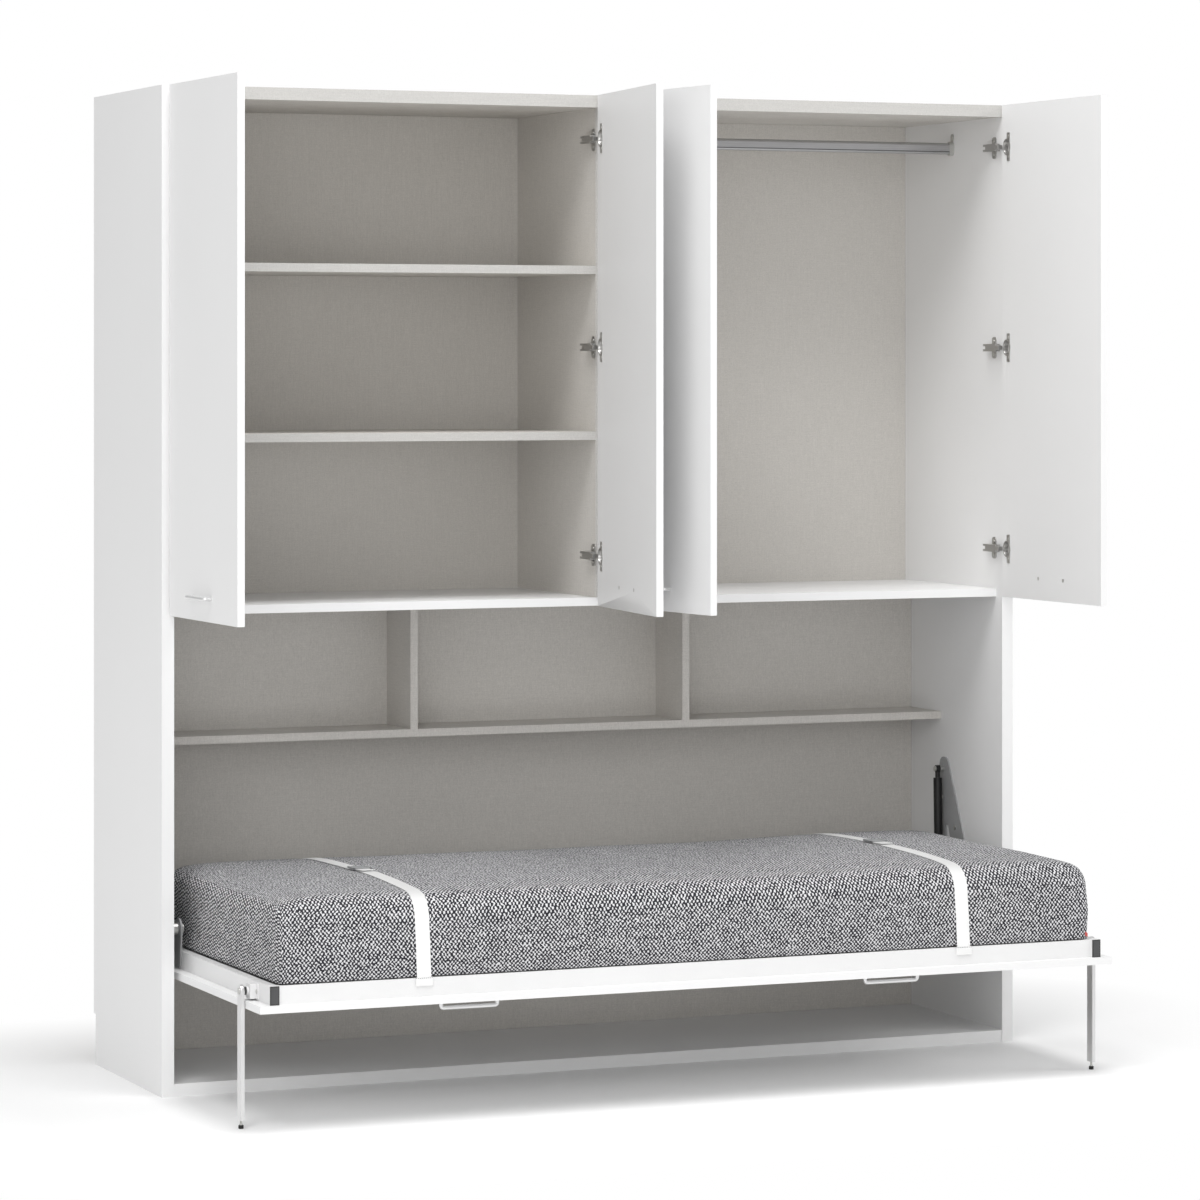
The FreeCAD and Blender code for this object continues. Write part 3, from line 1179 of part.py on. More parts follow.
def strap(x):
    """One strap over the mattress, with its doubled ends hooked over the long rails."""
    x0 = x - STRAP_WIDE / 2
    wire = mattress_wire(x0, 0, 0, 0)
    inner = wire.makeOffset2D(SEAT_GAP)
    outer = wire.makeOffset2D(SEAT_GAP + STRAP_T)
    band = Part.Face(outer).cut(Part.Face(inner)).extrude(Vec(STRAP_WIDE, 0, 0))
    low = FRAME_TOP + STRAP_HEM / 2
    top = MATTRESS_Z + MATTRESS_T + 2 * STRAP_T
    keep = block(x0, x0 + STRAP_WIDE, FRAME_FRONT - STRAP_HEM, FRAME_REAR + STRAP_HEM, low, top)
    band = band.common(keep)
    z0 = FRAME_TOP - STRAP_END_DROP
    front = RAIL_FRONT - SEAT_GAP
    rear = RAIL_REAR + SEAT_GAP
    for y0, y1 in ((front - STRAP_T, front), (rear, rear + STRAP_T)):
        band = band.fuse(block(x0, x0 + STRAP_WIDE, y0, y1, z0, FRAME_TOP + STRAP_HEM))
    return band.removeSplitter()


def buckle(x, y):
    """One ladder buckle that lies on its strap."""
    half = BUCKLE_WIDE / 2
    half_long = BUCKLE_LONG / 2
    z = MATTRESS_Z + MATTRESS_T + STRAP_T + 2 * SEAT_GAP
    body = block(x - half, x + half, y - half_long, y + half_long, z, z + BUCKLE_T)
    inner = half - BUCKLE_BAR / 2
    slot = (BUCKLE_LONG - 3 * BUCKLE_BAR) / 2
    for side in (-1, 1):
        middle = y + side * (BUCKLE_BAR + slot) / 2
        opening = block(x - inner, x + inner, middle - slot / 2, middle + slot / 2, z, z + BUCKLE_T)
        body = body.cut(opening)
    return body


# --- assembly ------------------------------------------------------------------------------------
def cabinet_screws():
    """Every screw that is fixed in the cabinet's boards, as (tip, head, radius) lines and solids."""
    hinge_lines = [line for place in DOORS for z in HINGE_ZS for line in plate_screw_lines(place, z)]
    rail_lines = [rail_screw_line(HALF_BOARD, 1), rail_screw_line(IN_X, -1)]
    right_lines = wall_plate_screw_lines()
    left_lines = [(Vec(-tip.x, tip.y, tip.z), Vec(-head.x, head.y, head.z), radius)
                  for tip, head, radius in right_lines]
    solids = [screw(tip, head, radius, SCREW_HEAD_R, SCREW_HEAD_T)
              for tip, head, radius in hinge_lines + rail_lines]
    solids += [screw(tip, head, radius, PLATE_SCREW_HEAD_R, PLATE_SCREW_HEAD_T)
               for tip, head, radius in right_lines + left_lines]
    return hinge_lines + rail_lines + right_lines + left_lines, group(solids)


def bed_screws():
    """Every screw and bolt of the bed, apart from the leg bolts."""
    solids = [screw(tip, head, radius, SCREW_HEAD_R, SCREW_HEAD_T)
              for tip, head, radius in panel_screw_lines()]
    solids += [screw(tip, head, radius, HANDLE_SCREW_HEAD_R, HANDLE_SCREW_HEAD_T)
               for tip, head, radius in bed_handle_screws()]
    right = [screw(tip, head, radius, PLATE_SCREW_HEAD_R, SCREW_HEAD_T)
             for tip, head, radius in arm_bolt_lines() + leg_bracket_screw_lines()]
    solids += right + [other_side(solid) for solid in right]
    return group(solids)


def bed_handles():
    """The two bow handles on the bed panel's outer face."""
    bows = []
    for x in (-BED_HANDLE_X, BED_HANDLE_X):
        bow = handle(BED_HANDLE_R, HANDLE_SPACING, BED_HANDLE_REACH, BED_HANDLE_CORNER)
        bow.rotate(Vec(0, 0, 0), Vec(1, 0, 0), 180)
        bow.translate(Vec(x, BED_HANDLE_Y, BED_PANEL_Z))
        bows.append(bow)
    return group(bows)


def main():
    """Builds every node and writes it."""
    screw_lines, screws = cabinet_screws()
    nodes = carcass(carcass_dowel_lines(), screw_lines)
    nodes["cabinet_screws"] = screws
    nodes["hanging_rail"], nodes["rail_brackets"] = hanging_rail()
    nodes["hinge_arms"] = group([hinge_arm(place, z) for place in DOORS for z in HINGE_ZS])
    nodes["wall_plates"] = both_sides([wall_plate()])
    nodes["wall_plate_pins"] = both_sides([pivot_pin(), strut_wall_stud()])
    for place in DOORS:
        nodes.update(door_pieces(place))
    nodes["bed_front_panel"] = bed_panel()
    nodes["frame_side_rails"] = side_rails()
    nodes["frame_long_rails"] = long_rails()
    nodes["frame_centre_bar"] = centre_bar()
    nodes["frame_end_caps"] = end_caps()
    nodes["slats"], nodes["slat_holders"] = slats_and_holders()
    nodes["mattress"] = mattress()
    nodes["straps"] = group([strap(-STRAP_X), strap(STRAP_X)])
    nodes["strap_buckles"] = group([buckle(-STRAP_X, BUCKLE_Y[0]), buckle(STRAP_X, BUCKLE_Y[1])])
    nodes["bed_handles"] = bed_handles()
    nodes["bed_screws"] = bed_screws()
    nodes["leg_brackets"] = both_sides([leg_bracket()])
    nodes["leg_pivot_bolts"] = both_sides([leg_bolt()])
    nodes["leg_springs"] = both_sides([leg_spring()])
    nodes["pivot_arms"] = both_sides([pivot_arm()])
    nodes["pivot_bushes"] = both_sides([pivot_bush()])
    nodes["strut_bed_studs"] = both_sides([strut_bed_stud()])
    nodes["leg_left"] = leg(-1)
    nodes["leg_right"] = leg(1)
    nodes["foot_left"] = foot(-1)
    nodes["foot_right"] = foot(1)
    nodes["strut_cylinder_left"] = other_side(strut_cylinder())
    nodes["strut_cylinder_right"] = strut_cylinder()
    nodes["strut_rod_left"] = other_side(strut_rod())
    nodes["strut_rod_right"] = strut_rod()
    for name in nodes:
        save(name, nodes[name])


main()
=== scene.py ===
import logging
import math
from dataclasses import dataclass
from enum import Enum
from typing import Sequence

import bmesh
import bpy
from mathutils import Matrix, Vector, noise
from mathutils.bvhtree import BVHTree


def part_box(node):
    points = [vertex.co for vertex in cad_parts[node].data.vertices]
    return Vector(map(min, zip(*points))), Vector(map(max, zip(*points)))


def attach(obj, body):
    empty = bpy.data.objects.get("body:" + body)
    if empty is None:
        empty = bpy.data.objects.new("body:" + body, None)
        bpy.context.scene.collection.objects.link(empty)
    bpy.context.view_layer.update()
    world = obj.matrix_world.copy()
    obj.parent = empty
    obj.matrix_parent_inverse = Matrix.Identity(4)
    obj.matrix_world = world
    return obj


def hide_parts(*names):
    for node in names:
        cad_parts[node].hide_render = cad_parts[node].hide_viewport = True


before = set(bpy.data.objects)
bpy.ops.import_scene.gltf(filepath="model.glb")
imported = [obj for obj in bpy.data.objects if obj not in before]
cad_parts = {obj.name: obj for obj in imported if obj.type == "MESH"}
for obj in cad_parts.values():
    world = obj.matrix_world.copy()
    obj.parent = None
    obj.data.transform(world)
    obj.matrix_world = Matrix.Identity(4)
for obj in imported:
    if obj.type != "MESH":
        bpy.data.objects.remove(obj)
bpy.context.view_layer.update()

LOG = logging.getLogger("cabinet_bed")

Pair = tuple[float, float]
Triple = tuple[float, float, float]
Table = tuple[Pair, ...]
Colour = Triple
Mesh = bmesh.types.BMesh
Piece = bpy.types.Object
Socket = bpy.types.NodeSocket
Value = Socket | float | Sequence[float]

WHITE: Colour = (1.0, 1.0, 1.0)


# --- materials -------------------------------------------------------------------------------------
class Space(Enum):
    """Where a pattern takes its coordinates from."""

    OBJECT = "Object"
    CLOTH = "cloth"


class Graph:
    """A small builder for the node tree of one material or world."""

    def __init__(self, owner: bpy.types.Material | bpy.types.World, kind: str = "BsdfPrincipled",
                 output: str = "OutputMaterial") -> None:
        """Starts a tree that holds one shader and its output.

        Args:
            owner: the new material or world.
            kind: the shader's node type, without its leading ShaderNode.
            output: the output's node type, written the same way.
        """
        owner.use_nodes = True
        self.nodes, self.links = owner.node_tree.nodes, owner.node_tree.links
        self.nodes.clear()
        self.shader = self.node(kind)
        self.output = self.node(output, Surface=self.shader.outputs[0])

    def node(self, kind: str, **inputs: Value) -> bpy.types.Node:
        """Adds a node.

        Args:
            kind: its type, without the leading ShaderNode.
            inputs: what its inputs get, by their names with underscores for spaces.

        Returns:
            The node.
        """
        node = self.nodes.new("ShaderNode" + kind)
        for name, value in inputs.items():
            self.link(value, node.inputs[name.replace("_", " ")])
        return node

    def link(self, value: Value, socket: Socket) -> None:
        """Feeds a socket.

        Args:
            value: another socket, or a constant. A colour has no alpha.
            socket: the socket that gets it.
        """
        if isinstance(value, bpy.types.NodeSocket):
            self.links.new(value, socket)
        else:
            socket.default_value = (*value, 1.0) if socket.type == "RGBA" else value

    def coords(self, space: Space = Space.OBJECT) -> Socket:
        """Coordinates of a pattern.

        Args:
            space: object space, or the cloth's own flat coordinates.

        Returns:
            The vector socket.
        """
        if space is Space.OBJECT:
            return self.node("TexCoord").outputs[space.value]
        node = self.node("Attribute")
        node.attribute_name = space.value
        return node.outputs["Vector"]

    def noise(self, vector: Socket, scale: float | Triple, detail: float = 2.0) -> Socket:
        """A noise pattern between 0 and 1.

        Args:
            vector: its coordinates.
            scale: one scale, or one for each axis.
            detail: how many finer layers it has.

        Returns:
            The pattern's socket.
        """
        if isinstance(scale, tuple):
            vector, scale = self.node("Mapping", Vector=vector, Scale=scale).outputs["Vector"], 1.0
        return self.node("TexNoise", Vector=vector, Scale=scale, Detail=detail).outputs["Fac"]

    def waver(self, vector: Socket, scale: float | Triple, reach: float, detail: float = 2.0) -> Socket:
        """A noise pattern around 0, over a reach in all."""
        return self.times(self.add(self.noise(vector, scale, detail), -0.5), reach)

    def math(self, kind: str, *values: Value) -> Socket:
        """A math node's result.

        Args:
            kind: the operation.
            values: one or two numbers or sockets.

        Returns:
            The result's socket.
        """
        node = self.node("Math")
        node.operation = kind
        for value, socket in zip(values, node.inputs):
            self.link(value, socket)
        return node.outputs[0]

    def add(self, first: Value, *others: Value) -> Socket:
        """The sum of two or more values."""
        for other in others:
            first = self.math("ADD", first, other)
        return first

    def times(self, first: Value, second: Value) -> Socket:
        """The product of two values."""
        return self.math("MULTIPLY", first, second)

    def wave(self, value: Socket, length: float) -> Socket:
        """A sine wave of a given length along a value."""
        return self.math("SINE", self.times(value, 2 * math.pi / length))

    def split(self, vector: Socket) -> list[Socket]:
        """The three parts of a vector."""
        return list(self.node("SeparateXYZ", Vector=vector).outputs)

    def facing(self, axis: int) -> Socket:
        """How far the surface faces along one of the piece's own axes."""
        return self.split(self.node("TexCoord").outputs["Normal"])[axis]

    def ramp(self, value: Socket, low: float, high: float) -> Socket:
        """A value stretched so that low becomes 0 and high becomes 1, held between them."""
        return self.node("MapRange", Value=value, From_Min=low, From_Max=high).outputs["Result"]

    def mix(self, share: Value, first: Value, second: Value) -> Socket:
        """A colour between two colours.

        Args:
            share: 0 for the first colour, 1 for the second.
            first: a colour or a socket.
            second: a colour or a socket.

        Returns:
            The mixed colour's socket.
        """
        node = self.node("Mix")
        node.data_type = "RGBA"
        for value, number in ((share, 0), (first, 6), (second, 7)):
            self.link(value, node.inputs[number])
        return node.outputs[2]

    def tones(self, share: Value, colour: Colour, tones: Pair) -> Socket:
        """A colour between a darker and a lighter tone of itself."""
        return self.mix(share, *(shade(colour, tone) for tone in tones))

    def bump(self, height: Socket, distance: float, strength: float) -> None:
        """Raises the surface by a height pattern."""
        raised = self.node("Bump", Distance=distance, Strength=strength, Height=height)
        self.set(Normal=raised.outputs["Normal"])

    def set(self, **values: Value) -> None:
        """Sets the shader's own inputs, written with underscores for spaces."""
        for name, value in values.items():
            self.link(value, self.shader.inputs[name.replace("_", " ")])


def shade(colour: Colour, factor: float) -> Colour:
    """A colour made darker or lighter by one factor."""
    return tuple(min(1.0, part * factor) for part in colour)


@dataclass(frozen=True)
class Finish:
    """One surface finish of the bed. Each kind of finish writes its own pattern.

    The pattern runs between two tones of the colour, varies the roughness by a share of 1, and stands
    up by its relief.
    """

    name: str
    slot: str
    colour: Colour
    roughness: float = 0.5
    tones: Pair = (0.9, 1.1)
    varied: float = 0.1
    relief: float = 0.0001
    strength: float = 0.5
    specular: float = 0.5

    def material(self) -> bpy.types.Material:
        """The finish's material, made once and then shared."""
        known = bpy.data.materials.get(self.name)
        if known is None:
            known = bpy.data.materials.new(self.name)
            self.paint(Graph(known))
        return known

    def paint(self, graph: Graph) -> None:
        """Writes the pattern of this finish into a node tree."""
        raise NotImplementedError

    def lay(self, graph: Graph, tint: Socket, gloss: Socket, height: Socket) -> None:
        """Lays three patterns on the shader.

        Args:
            graph: the finish's node tree.
            tint: the pattern that runs between the two tones.
            gloss: the pattern that varies the roughness.
            height: the pattern that stands up.
        """
        graph.set(Base_Color=graph.tones(tint, self.colour, self.tones), Specular_IOR_Level=self.specular,
                  Roughness=graph.add(graph.times(gloss, self.varied), self.roughness - self.varied / 2))
        graph.bump(height, self.relief, self.strength)


@dataclass(frozen=True)
class Melamine(Finish):
    """Matt white melamine: a very fine pearl in the sheet and a faint cloudiness."""

    roughness: float = 0.42
    tones: Pair = (0.985, 1.01)
    varied: float = 0.08
    relief: float = 0.00006
    strength: float = 0.35
    specular: float = 0.35
    cloud: float = 3.0
    pearl: float = 900.0

    def paint(self, graph: Graph) -> None:
        """Clouds the white by a hair and gives the sheet its fine pearl."""
        where = graph.coords()
        pearl = graph.noise(where, self.pearl, 3.0)
        self.lay(graph, graph.noise(where, self.cloud), pearl, pearl)


@dataclass(frozen=True)
class Linen(Finish):
    """Laminate printed and pressed like linen, with banded front edges in its own pale tone.

    Each sort of thread has its scale along and across itself and its weight in the weave.
    """

    roughness: float = 0.55
    tones: Pair = (0.85, 1.13)
    relief: float = 0.0003
    strength: float = 0.4
    specular: float = 0.3
    threads: tuple[Triple, ...] = ((110.0, 1500.0, 1.0), (22.0, 700.0, 0.6))
    fleck: float = 420.0
    contrast: Pair = (0.38, 0.62)
    edge: Colour = (0.54, 0.53, 0.51)
    edge_tones: Pair = (0.86, 1.12)
    front_y: float = -0.1
    front_blend: float = 0.01

    def paint(self, graph: Graph) -> None:
        """Weaves fine threads both ways, and shows the pale banding where a surface faces the room."""
        where = graph.coords()
        weave = graph.noise(where, self.fleck)
        for along, across, weight in self.threads:
            for scale in ((along, along, across), (across, across, along)):
                weave = graph.add(weave, graph.times(graph.noise(where, scale), weight))
        weave = graph.times(weave, 1 / (1 + 2 * sum(weight for _, _, weight in self.threads)))
        share = graph.ramp(weave, *self.contrast)
        front = graph.ramp(graph.facing(1), -0.9, -0.99)
        near = graph.ramp(graph.split(where)[1], self.front_y + self.front_blend, self.front_y)
        graph.set(Base_Color=graph.mix(graph.times(front, near), graph.tones(share, self.colour, self.tones),
                                       graph.tones(share, self.edge, self.edge_tones)),
                  Roughness=self.roughness, Specular_IOR_Level=self.specular)
        graph.bump(weave, self.relief, self.strength)


@dataclass(frozen=True)
class PowderCoat(Finish):
    """Powder-coated steel with its slight orange peel."""

    tones: Pair = (0.96, 1.02)
    relief: float = 0.00025
    peel: float = 260.0
    dust: float = 14.0

    def paint(self, graph: Graph) -> None:
        """Gives the coat its orange peel and a faint dust in the low spots."""
        where = graph.coords()
        dust = graph.noise(where, self.dust, 3.0)
        self.lay(graph, dust, dust, graph.noise(where, self.peel))


@dataclass(frozen=True)
class Metal(Finish):
    """Bare or plated metal, drawn or brushed along one axis."""

    tones: Pair = (0.9, 1.06)
    varied: float = 0.12
    relief: float = 0.00005
    strength: float = 0.4
    grain: Triple = (40.0, 900.0, 900.0)
    smear: Pair = (24.0, 0.06)

    def paint(self, graph: Graph) -> None:
        """Draws the brushing along the grain and breaks the gloss with it."""
        where = graph.coords()
        brushed = graph.noise(where, self.grain, 3.0)
        scale, reach = self.smear
        gloss = graph.add(brushed, graph.times(graph.noise(where, scale), reach / self.varied))
        self.lay(graph, brushed, gloss, brushed)
        graph.set(Metallic=1.0)


@dataclass(frozen=True)
class GroovedRail(Metal):
    """The hanging rail's drawn aluminium with its fine grooves and a deeper one near the foot, all with
    painted shade in them.
    """

    centre_z: float = 0.0
    pitch: float = 0.0056
    groove: float = 0.0008
    deep_drop: float = 0.0075
    # painted shade in the grooves: the fine grooves' share of it and of the depth, then its tones in the
    # fine and the deep grooves
    fine_shade_and_lift: Pair = (0.25, 0.3)
    groove_shade_tones: Pair = (0.5, 0.3)
    groove_depth: float = 0.0005

    def paint(self, graph: Graph) -> None:
        """Brushes the rail, presses its fine grooves and paints shade into them, darkest in the deep one."""
        super().paint(graph)
        height = graph.add(graph.split(graph.coords())[2], -self.centre_z)
        step = graph.math("PINGPONG", graph.add(height, self.pitch / 2), self.pitch / 2)
        fine = graph.ramp(step, self.groove, 0.0)
        off = graph.math("ABSOLUTE", graph.add(height, self.deep_drop))
        deep = graph.ramp(off, 2 * self.groove, self.groove)
        tint, lift = self.fine_shade_and_lift
        fine_groove_shade, deep_groove_shade = (shade(self.colour, tone) for tone in self.groove_shade_tones)
        metal = graph.shader.inputs["Base Color"].links[0].from_socket
        # painted shade: the fine grooves take part of a darker tone, the deep one all of a darker one
        grooved = graph.mix(graph.times(fine, tint), metal, fine_groove_shade)
        graph.set(Base_Color=graph.mix(deep, grooved, deep_groove_shade))
        graph.bump(graph.times(graph.add(graph.times(fine, lift), deep), -1.0), self.groove_depth, 1.0)


@dataclass(frozen=True)
class Moulded(Finish):
    """Moulded plastic or rubber with a fine spark-eroded grain."""

    tones: Pair = (0.88, 1.15)
    varied: float = 0.12
    relief: float = 0.00008
    grain: float = 1400.0
    scuff: float = 60.0

    def paint(self, graph: Graph) -> None:
        """Roughens the skin with its mould's grain."""
        where = graph.coords()
        grain = graph.noise(where, self.grain)
        self.lay(graph, graph.noise(where, self.scuff, 4.0), grain, grain)


@dataclass(frozen=True)
class Timber(Finish):
    """Plain timber with its long grain."""

    tones: Pair = (0.78, 1.12)
    grain: Triple = (90.0, 4.0, 90.0)
    pore_scale: float = 9.0

    def paint(self, graph: Graph) -> None:
        """Draws the grain and its pores."""
        where = graph.coords()
        rings = graph.noise(where, self.grain, 5.0)
        graph.set(Base_Color=graph.tones(rings, self.colour, self.tones), Roughness=self.roughness)
        pores = tuple(part * self.pore_scale for part in self.grain)
        graph.bump(graph.noise(where, pores), self.relief, self.strength)


@dataclass(frozen=True)
class BasketWeave(Finish):
    """The mattress cover: black and white yarns crossed in a small, lively basket weave.

    The drifts bend the yarns, and the lumps, with their scales and reaches, make the weave uneven.
    """

    roughness: float = 0.92
    tones: Pair = (0.75, 1.15)
    relief: float = 0.0009
    strength: float = 0.7
    specular: float = 0.15
    sheen: float = 0.1
    dark: Colour = (0.008, 0.008, 0.010)
    dark_tones: Pair = (1.0, 5.0)
    cells: Pair = (0.0044, 0.0063)
    balance: float = 0.17
    blend: float = 0.11
    wander: float = 0.0088
    drifts: tuple[Triple, ...] = ((70.0, 110.0, 1.0), (110.0, 70.0, 1.0))
    lumps: tuple[tuple[float | Triple, float], ...] = ((170.0, 1.7), ((26.0, 60.0, 1.0), 0.7))
    yarn: float = 700.0
    yarn_lift: float = 0.5

    def paint(self, graph: Graph) -> None:
        """Crosses the yarns in the cloth's own coordinates, lets them wander and raises each crossing."""
        where = graph.coords(Space.CLOTH)
        waves = []
        for part, cell, drift in zip(graph.split(where), self.cells, self.drifts):
            waves.append(graph.wave(graph.add(part, graph.waver(where, drift, self.wander)), 2 * cell))
        basket = graph.times(*waves)
        uneven = [graph.waver(where, scale, reach, 3.0) for scale, reach in self.lumps]
        share = graph.ramp(graph.add(basket, *uneven), self.balance - self.blend, self.balance + self.blend)
        yarn = graph.noise(where, self.yarn, 3.0)
        graph.set(Base_Color=graph.mix(share, graph.tones(yarn, self.dark, self.dark_tones),
                                       graph.tones(yarn, self.colour, self.tones)),
                  Roughness=self.roughness, Sheen_Weight=self.sheen, Specular_IOR_Level=self.specular)
        lift = graph.add(graph.math("ABSOLUTE", basket), graph.times(yarn, self.yarn_lift))
        graph.bump(lift, self.relief, self.strength)


@dataclass(frozen=True)
class Webbing(Finish):
    """White woven webbing, ribbed across its length, with painted shade that greys what faces up."""

    roughness: float = 0.8
    tones: Pair = (0.93, 1.03)
    relief: float = 0.0003
    sheen: float = 0.2
    rib: float = 0.0016
    yarn_share: float = 1.3
    weights: Triple = (0.6, 0.4, 0.25)
    fuzz: float = 700.0
    # painted shade: faces that look up get the colour darkened by this factor, faded in over the facing
    # range below
    flat: float = 0.76
    top_shade_facing: Pair = (0.45, 0.98)

    def paint(self, graph: Graph) -> None:
        """Runs the ribs along the webbing's own length and paints shade on what faces up."""
        where = graph.coords(Space.CLOTH)
        across, along, _ = graph.split(where)
        ribs, yarns, tint = self.weights
        weave = graph.add(graph.times(graph.wave(along, self.rib), ribs),
                          graph.times(graph.wave(across, self.rib * self.yarn_share), yarns))
        share = graph.add(graph.times(weave, tint), graph.noise(where, self.fuzz))
        upright = graph.tones(share, self.colour, self.tones)
        # painted shade: a darker copy of the colour for the faces that look up
        shaded_top = graph.tones(share, shade(self.colour, self.flat), self.tones)
        graph.set(Base_Color=graph.mix(graph.ramp(graph.facing(2), *self.top_shade_facing), upright, shaded_top),
                  Roughness=self.roughness, Sheen_Weight=self.sheen)
        graph.bump(weave, self.relief, self.strength)


WHITE_BOARD = Melamine("white_melamine", "white_board", (0.84, 0.84, 0.84))
LINEN_BOARD = Linen("linen_laminate", "linen_board", (0.645, 0.622, 0.587))
WHITE_STEEL = PowderCoat("white_powder_coat", "white_steel", (0.80, 0.80, 0.80), 0.42)
GREY_STEEL = PowderCoat("grey_powder_coat", "grey_steel", (0.36, 0.365, 0.37))
STRUT_ENAMEL = PowderCoat("black_enamel", "strut_black", (0.006, 0.006, 0.006), 0.45, peel=400.0)
LEG_STEEL = Metal("satin_leg_steel", "leg_steel", (0.80, 0.80, 0.80), 0.42, varied=0.08,
                  grain=(900.0, 900.0, 40.0))
ZINC = Metal("zinc_plate", "zinc_steel", (0.62, 0.62, 0.60), 0.36, grain=(300.0, 300.0, 300.0))
NICKEL = Metal("nickel_plate", "nickel", (0.52, 0.515, 0.505), 0.32, grain=(500.0, 500.0, 90.0))
SATIN = Metal("satin_metal", "satin_metal", (0.82, 0.82, 0.82), 0.34, varied=0.08,
              grain=(60.0, 900.0, 900.0))
CHROME = Metal("hard_chrome", "rod_chrome", (0.75, 0.75, 0.76), 0.105, varied=0.05,
               grain=(900.0, 900.0, 50.0))
RAIL_METAL = GroovedRail("grooved_aluminium", "rail_metal", (0.5, 0.5, 0.51), 0.36,
                         centre_z=sum(corner.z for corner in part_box("hanging_rail")) / 2)
BLACK_PLASTIC = Moulded("black_plastic", "black_plastic", (0.018, 0.018, 0.019))
CAP_CENTRE = Moulded("charcoal_plastic", "black_plastic", (0.07, 0.071, 0.073), 0.55)
FOOT_RUBBER = Moulded("black_rubber", "foot_rubber", (0.015, 0.015, 0.015), 0.7)
ACETAL = Moulded("grey_acetal", "bush_plastic", (0.22, 0.22, 0.225), 0.4)
BUCKLE_GREY = Moulded("grey_buckle_plastic", "buckle_plastic", (0.34, 0.345, 0.35), 0.4)
THREAD = Moulded("grey_thread", "webbing", (0.10, 0.10, 0.11), 0.8)
BEECH = Timber("beech_dowel", "dowel_wood", (0.6, 0.44, 0.28), 0.6, grain=(90.0, 90.0, 90.0))
BIRCH = Timber("birch_slat", "slat_wood", (0.68, 0.52, 0.34))
COVER = BasketWeave("basket_weave", "weave_cloth", (0.74, 0.74, 0.755))
STRAP_WEB = Webbing("white_webbing", "webbing", (0.88, 0.88, 0.875))
TAB_CLOTH = Webbing("plain_tab_cloth", "webbing", (0.55, 0.09, 0.08), rib=0.0008)


# --- mesh helpers ------------------------------------------------------------------------------------
def new_piece(name: str, bm: Mesh) -> Piece:
    """Puts a bmesh into the scene.

    Args:
        name: the piece's name.
        bm: its mesh, freed here.

    Returns:
        The new object.
    """
    mesh = bpy.data.meshes.new(name)
    bm.to_mesh(mesh)
    bm.free()
    piece = bpy.data.objects.new(name, mesh)
    bpy.context.scene.collection.objects.link(piece)
    return piece


def dress(piece: Piece, finish: Finish) -> None:
    """Gives a piece or a carried-over node its finish."""
    piece.data.materials.clear()
    piece.data.materials.append(finish.material())


def seat(piece: Piece, finish: Finish, body: str, node: str | None) -> Piece:
    """Dresses a new piece, hangs it on its body and hides the frame's node that it stands for.

    Args:
        piece: the piece.
        finish: its finish.
        body: the body that it rides on.
        node: the frame's node that it stands for, if any.

    Returns:
        The same piece.
    """
    dress(piece, finish)
    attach(piece, body)
    if node:
        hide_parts(node)
    return piece


def finish_mesh(name: str, bm: Mesh, finish: Finish, body: str = "bed", node: str | None = None,
                degrees: float = 38.0) -> Piece:
    """Turns a finished bmesh into a piece with smooth faces and sharp edges.

    Args:
        name: the piece's name.
        bm: its mesh, freed here.
        finish: its finish.
        body: the body that it rides on.
        node: the frame's node that it stands for, if any.
        degrees: the least angle of a sharp edge.

    Returns:
        The new object.
    """
    bmesh.ops.recalc_face_normals(bm, faces=bm.faces)
    for face in bm.faces:
        face.smooth = True
    for edge in bm.edges:
        if len(edge.link_faces) == 2:
            edge.smooth = edge.calc_face_angle(0.0) < math.radians(degrees)
    return seat(new_piece(name, bm), finish, body, node)


def dress_nodes(finish: Finish, *names: str, edge: float = 0.0) -> list[Piece]:
    """Finishes carried-over nodes and rounds their edges, without touching their meshes.

    Args:
        finish: the finish that they share.
        names: the nodes.
        edge: the width of the rounded edges, or 0 for none.

    Returns:
        The dressed nodes.
    """
    nodes = [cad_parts[name] for name in names]
    for node in nodes:
        dress(node, finish)
        if edge:
            node.modifiers.new("weld", "WELD").merge_threshold = 0.00001
            bevel = node.modifiers.new("eased_edges", "BEVEL")
            bevel.width = edge
            bevel.segments = 2
            bevel.limit_method = "ANGLE"
            bevel.angle_limit = math.radians(50)
            bevel.use_clamp_overlap = True
            bevel.harden_normals = True
    return nodes


def add_box(bm: Mesh, centre: Sequence[float], half: Sequence[float]) -> None:
    """Adds a box to a bmesh by its centre and its half sizes."""
    for vert in bmesh.ops.create_cube(bm, size=2.0)["verts"]:
        vert.co = [middle + part * reach for middle, part, reach in zip(centre, vert.co, half)]


def skin(bm: Mesh, rings: Sequence[Sequence[bmesh.types.BMVert]]) -> list[bmesh.types.BMFace]:
    """Joins rings of vertices into a closed skin.

    Args:
        bm: the mesh that grows.
        rings: rings of one count. The first and the last may be a single vertex instead.

    Returns:
        The faces between the rings.
    """
    steps = max(len(ring) for ring in rings)
    sides = []
    for low, high in zip(rings, rings[1:]):
        for i in range(steps):
            j = (i + 1) % steps
            lower = [low[0]] if len(low) == 1 else [low[i], low[j]]
            upper = [high[0]] if len(high) == 1 else [high[j], high[i]]
            sides.append(bm.faces.new(lower + upper))
    for ring in (rings[0], rings[-1]):
        if len(ring) > 1:
            bm.faces.new(ring)
    return sides


def turned(bm: Mesh, profile: Sequence[Pair], centre: Vector, steps: int) -> None:
    """Adds a turned shape to a bmesh.

    Args:
        bm: the mesh that grows.
        profile: (radius, height) points from one end on the axis to the other.
        centre: a point on its upright axis.
        steps: how many sides it has.
    """
    rings = []
    for radius, height in profile:
        sides = steps if radius else 1
        angles = [2 * math.pi * i / steps for i in range(sides)]
        places = [(centre.x + radius * math.cos(angle), centre.y + radius * math.sin(angle), height)
                  for angle in angles]
        rings.append([bm.verts.new(place) for place in places])
    skin(bm, rings)


